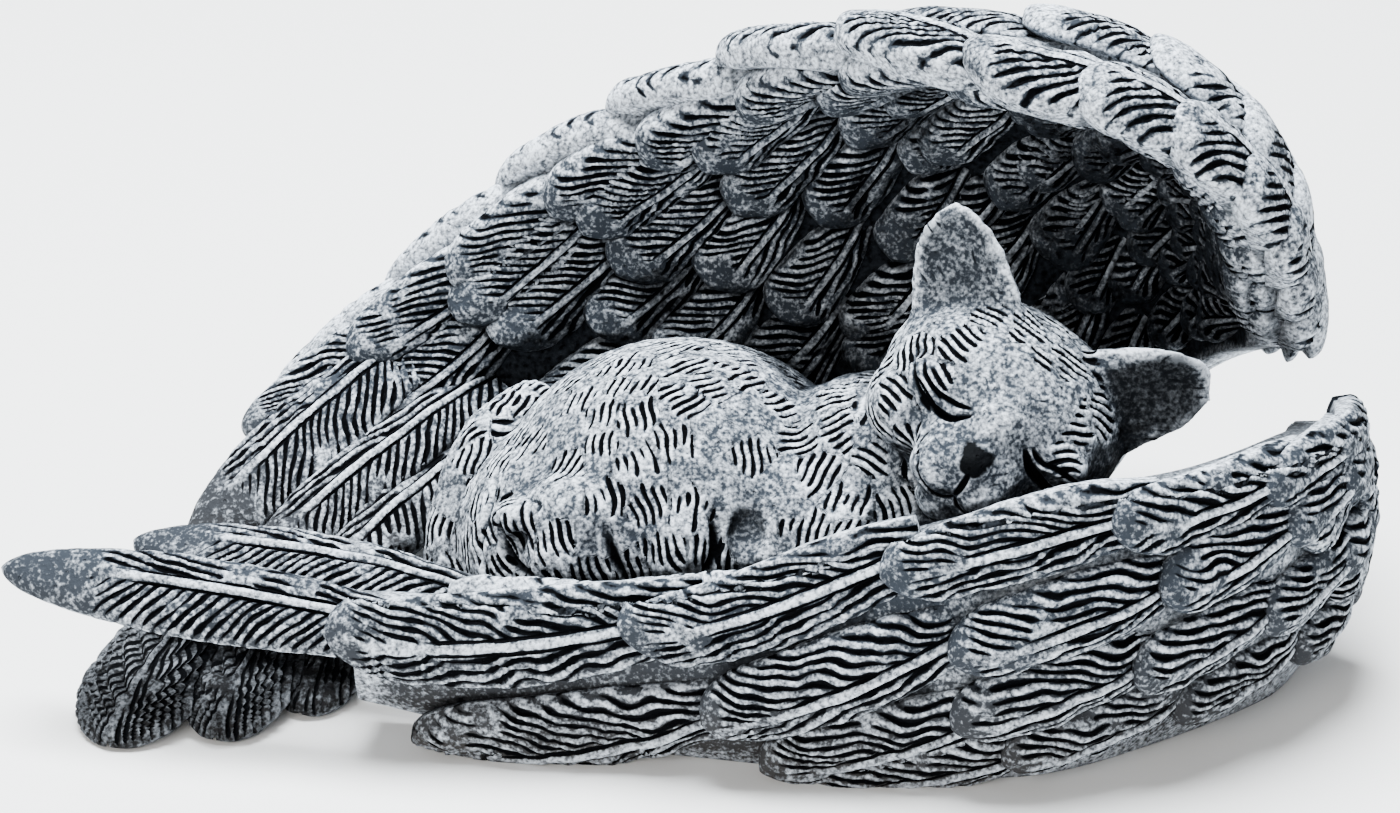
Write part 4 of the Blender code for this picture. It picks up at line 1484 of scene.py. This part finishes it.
# %% The tree that presses lines into a skin
def press_tree():
    bench, given = start_tree(
        "Press the strokes",
        geometry=["Skin"],
        object=["Strokes"],
        number=["Fur depth", "Roughness"],
        material=["Finish"],
    )
    strokes = bench.mesh_from(given["Strokes"])
    away = bench.add(
        "GeometryNodeProximity", {"target_element": "EDGES"}, {0: strokes}, out="Distance"
    )
    nearest = bench.add("GeometryNodeSampleNearest", {"domain": "POINT"}, {0: strokes})

    def there(label):
        return bench.add(
            "GeometryNodeSampleIndex",
            {"data_type": "FLOAT", "domain": "POINT"},
            {0: strokes, 1: attribute(bench, label), 2: nearest},
        )

    width, depth = there("width"), there("depth")
    near = (1.0 - away / width).unit()
    line = near * near * (3.0 - 2.0 * near)
    barbs, carving = (attribute(bench, label, "FLOAT_VECTOR") for label in ("barbs", "carving"))
    fur, _ = grooves(bench, barbs, carving)
    place = bench.add("GeometryNodeInputPosition")
    lump = (noise(bench, place, 330.0, 3.0) - 0.5) * given["Roughness"]
    normal = bench.add("GeometryNodeInputNormal")
    sunk = (line * depth).most(fur * given["Fur depth"])
    # The lines' dark wash and painted shade goes into cut for the paint
    # Kept before the skin moves, because the lines stay where they were
    marked = keep(bench, given["Skin"], "cut", line * there("ink"))
    pressed = bench.add(
        "GeometryNodeSetPosition",
        {},
        {"Geometry": marked, "Offset": bench.scaled(normal, lump - sunk)},
    )
    return end_tree(bench, pressed, given["Finish"])


# The broad hollows first, then the lines and the fur
press = press_tree()
hollows = lines_mesh("hollows", thrown(kitten, HOLLOWS, over_body, VIEW_AHEAD, 0.0))
smoothly = {"Strokes": hollows, "Fur depth": 0.0, "Roughness": 0.0, "Finish": cast_stone}
run_tree(kitten, press, smoothly)
bpy.data.objects.remove(hollows)
# The lines of the face take full dark wash and painted shade, the creases less
face_lines = thrown(kitten, FACE_LINES, over_face, -AXES[2], 1.0)
split_near(kitten, face_lines)
creases = thrown(kitten, BODY_LINES, over_body, VIEW_AHEAD, CREASE_WASH_AND_SHADE)
strokes = lines_mesh("strokes", face_lines + creases)
roughly = {"Strokes": strokes, "Fur depth": 0.0007, "Roughness": 0.0009, "Finish": cast_stone}
run_tree(kitten, press, roughly)
bpy.data.objects.remove(strokes)
set_numbers(kitten.data, soot=dark_paint_and_shade_on(kitten), brushed=np.ones(len(kitten.data.vertices)))
pieces.append(kitten)
print("The carved kitten has", triangles(kitten.data), "triangles")

# %% [markdown]
# ## What the painted shade, the painted light and the brush reach
#
# Dark wash and painted shade stay where a place is shut in, the dry brush touches what stands
# proud, and a little painted light from above touches what sees the sky. Rays from each point
# in a fixed set of directions measure both, and a blurred copy of the positions shows what
# stands proud. The results are attributes, so the paint travels with the mesh.

# %% The tree that looks around
RAY_COUNT, RAY_REACH = 26, 0.090
# Rays start this far off the skin, and those that climb more than SKY_FROM look at the sky
RAY_START = 0.0006
SKY_FROM = 0.15
PROUD_HEIGHT = 0.00016


def all_round(count):
    """Directions spread evenly over a sphere."""
    k = np.arange(count) + 0.5
    z = 1 - 2 * k / count
    turn = math.pi * (3 - math.sqrt(5)) * k
    ring = np.sqrt(1 - z * z)
    return np.stack([ring * np.cos(turn), ring * np.sin(turn), z], -1)


def shade_and_brush_tree():
    bench, given = start_tree(
        "Look around",
        geometry=["Skin"],
        object=["Around"],
        number=["Reach", "Proud height"],
        material=["Finish"],
    )
    around = bench.mesh_from(given["Around"])
    place, normal = bench.add("GeometryNodeInputPosition"), bench.add("GeometryNodeInputNormal")
    start = bench.vector("ADD", place, bench.scaled(normal, RAY_START))
    blocked, total, open_sky, whole_sky = 0.0, 0.0, 0.0, 0.0
    for way in all_round(RAY_COUNT):
        facing = bench.vector("DOT_PRODUCT", normal, tuple(way), out="Value").most(0.0)
        ray = {"Source Position": start, "Ray Direction": tuple(way), "Ray Length": given["Reach"]}
        hit = bench.add("GeometryNodeRaycast", {}, {0: around, **ray})
        blocked, total = hit * facing + blocked, facing + total
        if way[2] > SKY_FROM:
            seen = (1.0 - hit) * facing * float(way[2])
            open_sky, whole_sky = seen + open_sky, whole_sky + float(way[2])
    shut_in = blocked / total.most(0.05)
    sky = open_sky / (0.5 * whole_sky)

    def blurred(kind, value, times):
        wanted = {"Value": value, "Iterations": times}
        return bench.add("GeometryNodeBlurAttribute", {"data_type": kind}, wanted)

    off_mean = bench.vector("SUBTRACT", place, blurred("FLOAT_VECTOR", place, 3))
    proud = bench.vector("DOT_PRODUCT", off_mean, normal, out="Value")
    proud = (proud / given["Proud height"]).unit()
    geometry = given["Skin"]
    # shut_in feeds the painted shade, sky a little painted light from above, and proud the dry
    # brush
    for label, value in (("shut_in", shut_in), ("sky", sky), ("proud", proud)):
        geometry = keep(bench, geometry, label, blurred("FLOAT", value, 1))
    return end_tree(bench, geometry, given["Finish"])


def gathered(name, parts):
    """One mesh of all the parts, for the rays to meet."""
    split = []
    for part in parts:
        corner = np.zeros(triangles(part.data) * 3, np.int32)
        part.data.loop_triangles.foreach_get("vertices", corner)
        split.append((places(part.data), corner.reshape(-1, 3).tolist()))
    return put_in_scene(name, mesh_of(name, *in_one(split)))


surroundings = gathered("surroundings", pieces)
look_around = shade_and_brush_tree()
looking = {"Reach": RAY_REACH, "Proud height": PROUD_HEIGHT, "Finish": cast_stone}
for piece in pieces:
    run_tree(piece, look_around, {"Around": surroundings, **looking})
blanks = (fine_blank, long_blank, small_blank, plain_blank)
for helper in (surroundings, tall_guide, low_guide, *blanks):
    bpy.data.objects.remove(helper)
print("All pieces together have", sum(triangles(p.data) for p in pieces), "triangles")

# %% [markdown]
# ## Onto the frame
#
# All pieces are one casting, so they ride on the one body and stand for its one solid.

# %% Fixing the pieces
for piece in pieces:
    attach(piece, "root")
    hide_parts("statue")

# %% [markdown]
# ## Floor, light and camera
#
# The statue stands on a plain pale floor. A wide cool light overhead leaves the hood and the
# grooves dark, a soft one in front opens the face, and the camera looks down on it from the
# front.


# %% Studio
def plain_floor():
    half = 3.0
    points = [(-half, -half, 0), (half, -half, 0), (half, half, 0), (-half, half, 0)]
    mesh = mesh_of("floor", points, [(0, 1, 2, 3)])
    floor = put_in_scene("floor", mesh)
    paint = bpy.data.materials.new("pale_floor")
    paint.use_nodes = True
    shader = paint.node_tree.nodes["Principled BSDF"]
    shader.inputs["Base Color"].default_value = (0.90, 0.90, 0.89, 1.0)
    shader.inputs["Roughness"].default_value = 0.9
    mesh.materials.append(paint)


def lamp(name, place, target, size, power, colour):
    data = bpy.data.lights.new(name, "AREA")
    data.shape = "DISK"
    data.size = size
    data.energy = power
    data.color = colour
    made = put_in_scene(name, data)
    made.location = place
    made.rotation_euler = (Vector(target) - Vector(place)).to_track_quat("-Z", "Y").to_euler()


def camera(distance, elevation, target, lens):
    data = bpy.data.cameras.new("camera")
    data.lens = lens
    data.sensor_width = 36.0
    data.clip_start = 0.01
    made = put_in_scene("camera", data)
    turn = math.radians(elevation)
    away = Vector((0, -math.cos(turn), math.sin(turn)))
    made.location = Vector(target) + away * distance
    made.rotation_euler = (-away).to_track_quat("-Z", "Y").to_euler()
    bpy.context.scene.camera = made


plain_floor()
lamp("overhead", (-0.10, 0.15, 1.1), (0, 0, 0.04), 0.7, 66.0, (0.93, 0.97, 1.0))
lamp("front_fill", (-0.5, -1.1, 0.55), (0, 0, 0.04), 0.9, 15.0, (1.0, 0.97, 0.93))
world = bpy.data.worlds.new("studio")
bpy.context.scene.world = world
world.use_nodes = True
world.node_tree.nodes["Background"].inputs["Color"].default_value = (0.95, 0.97, 1.0, 1.0)
world.node_tree.nodes["Background"].inputs["Strength"].default_value = 0.34
camera(0.65, CAMERA_ELEVATION, VIEW_CENTRE, 90.26)
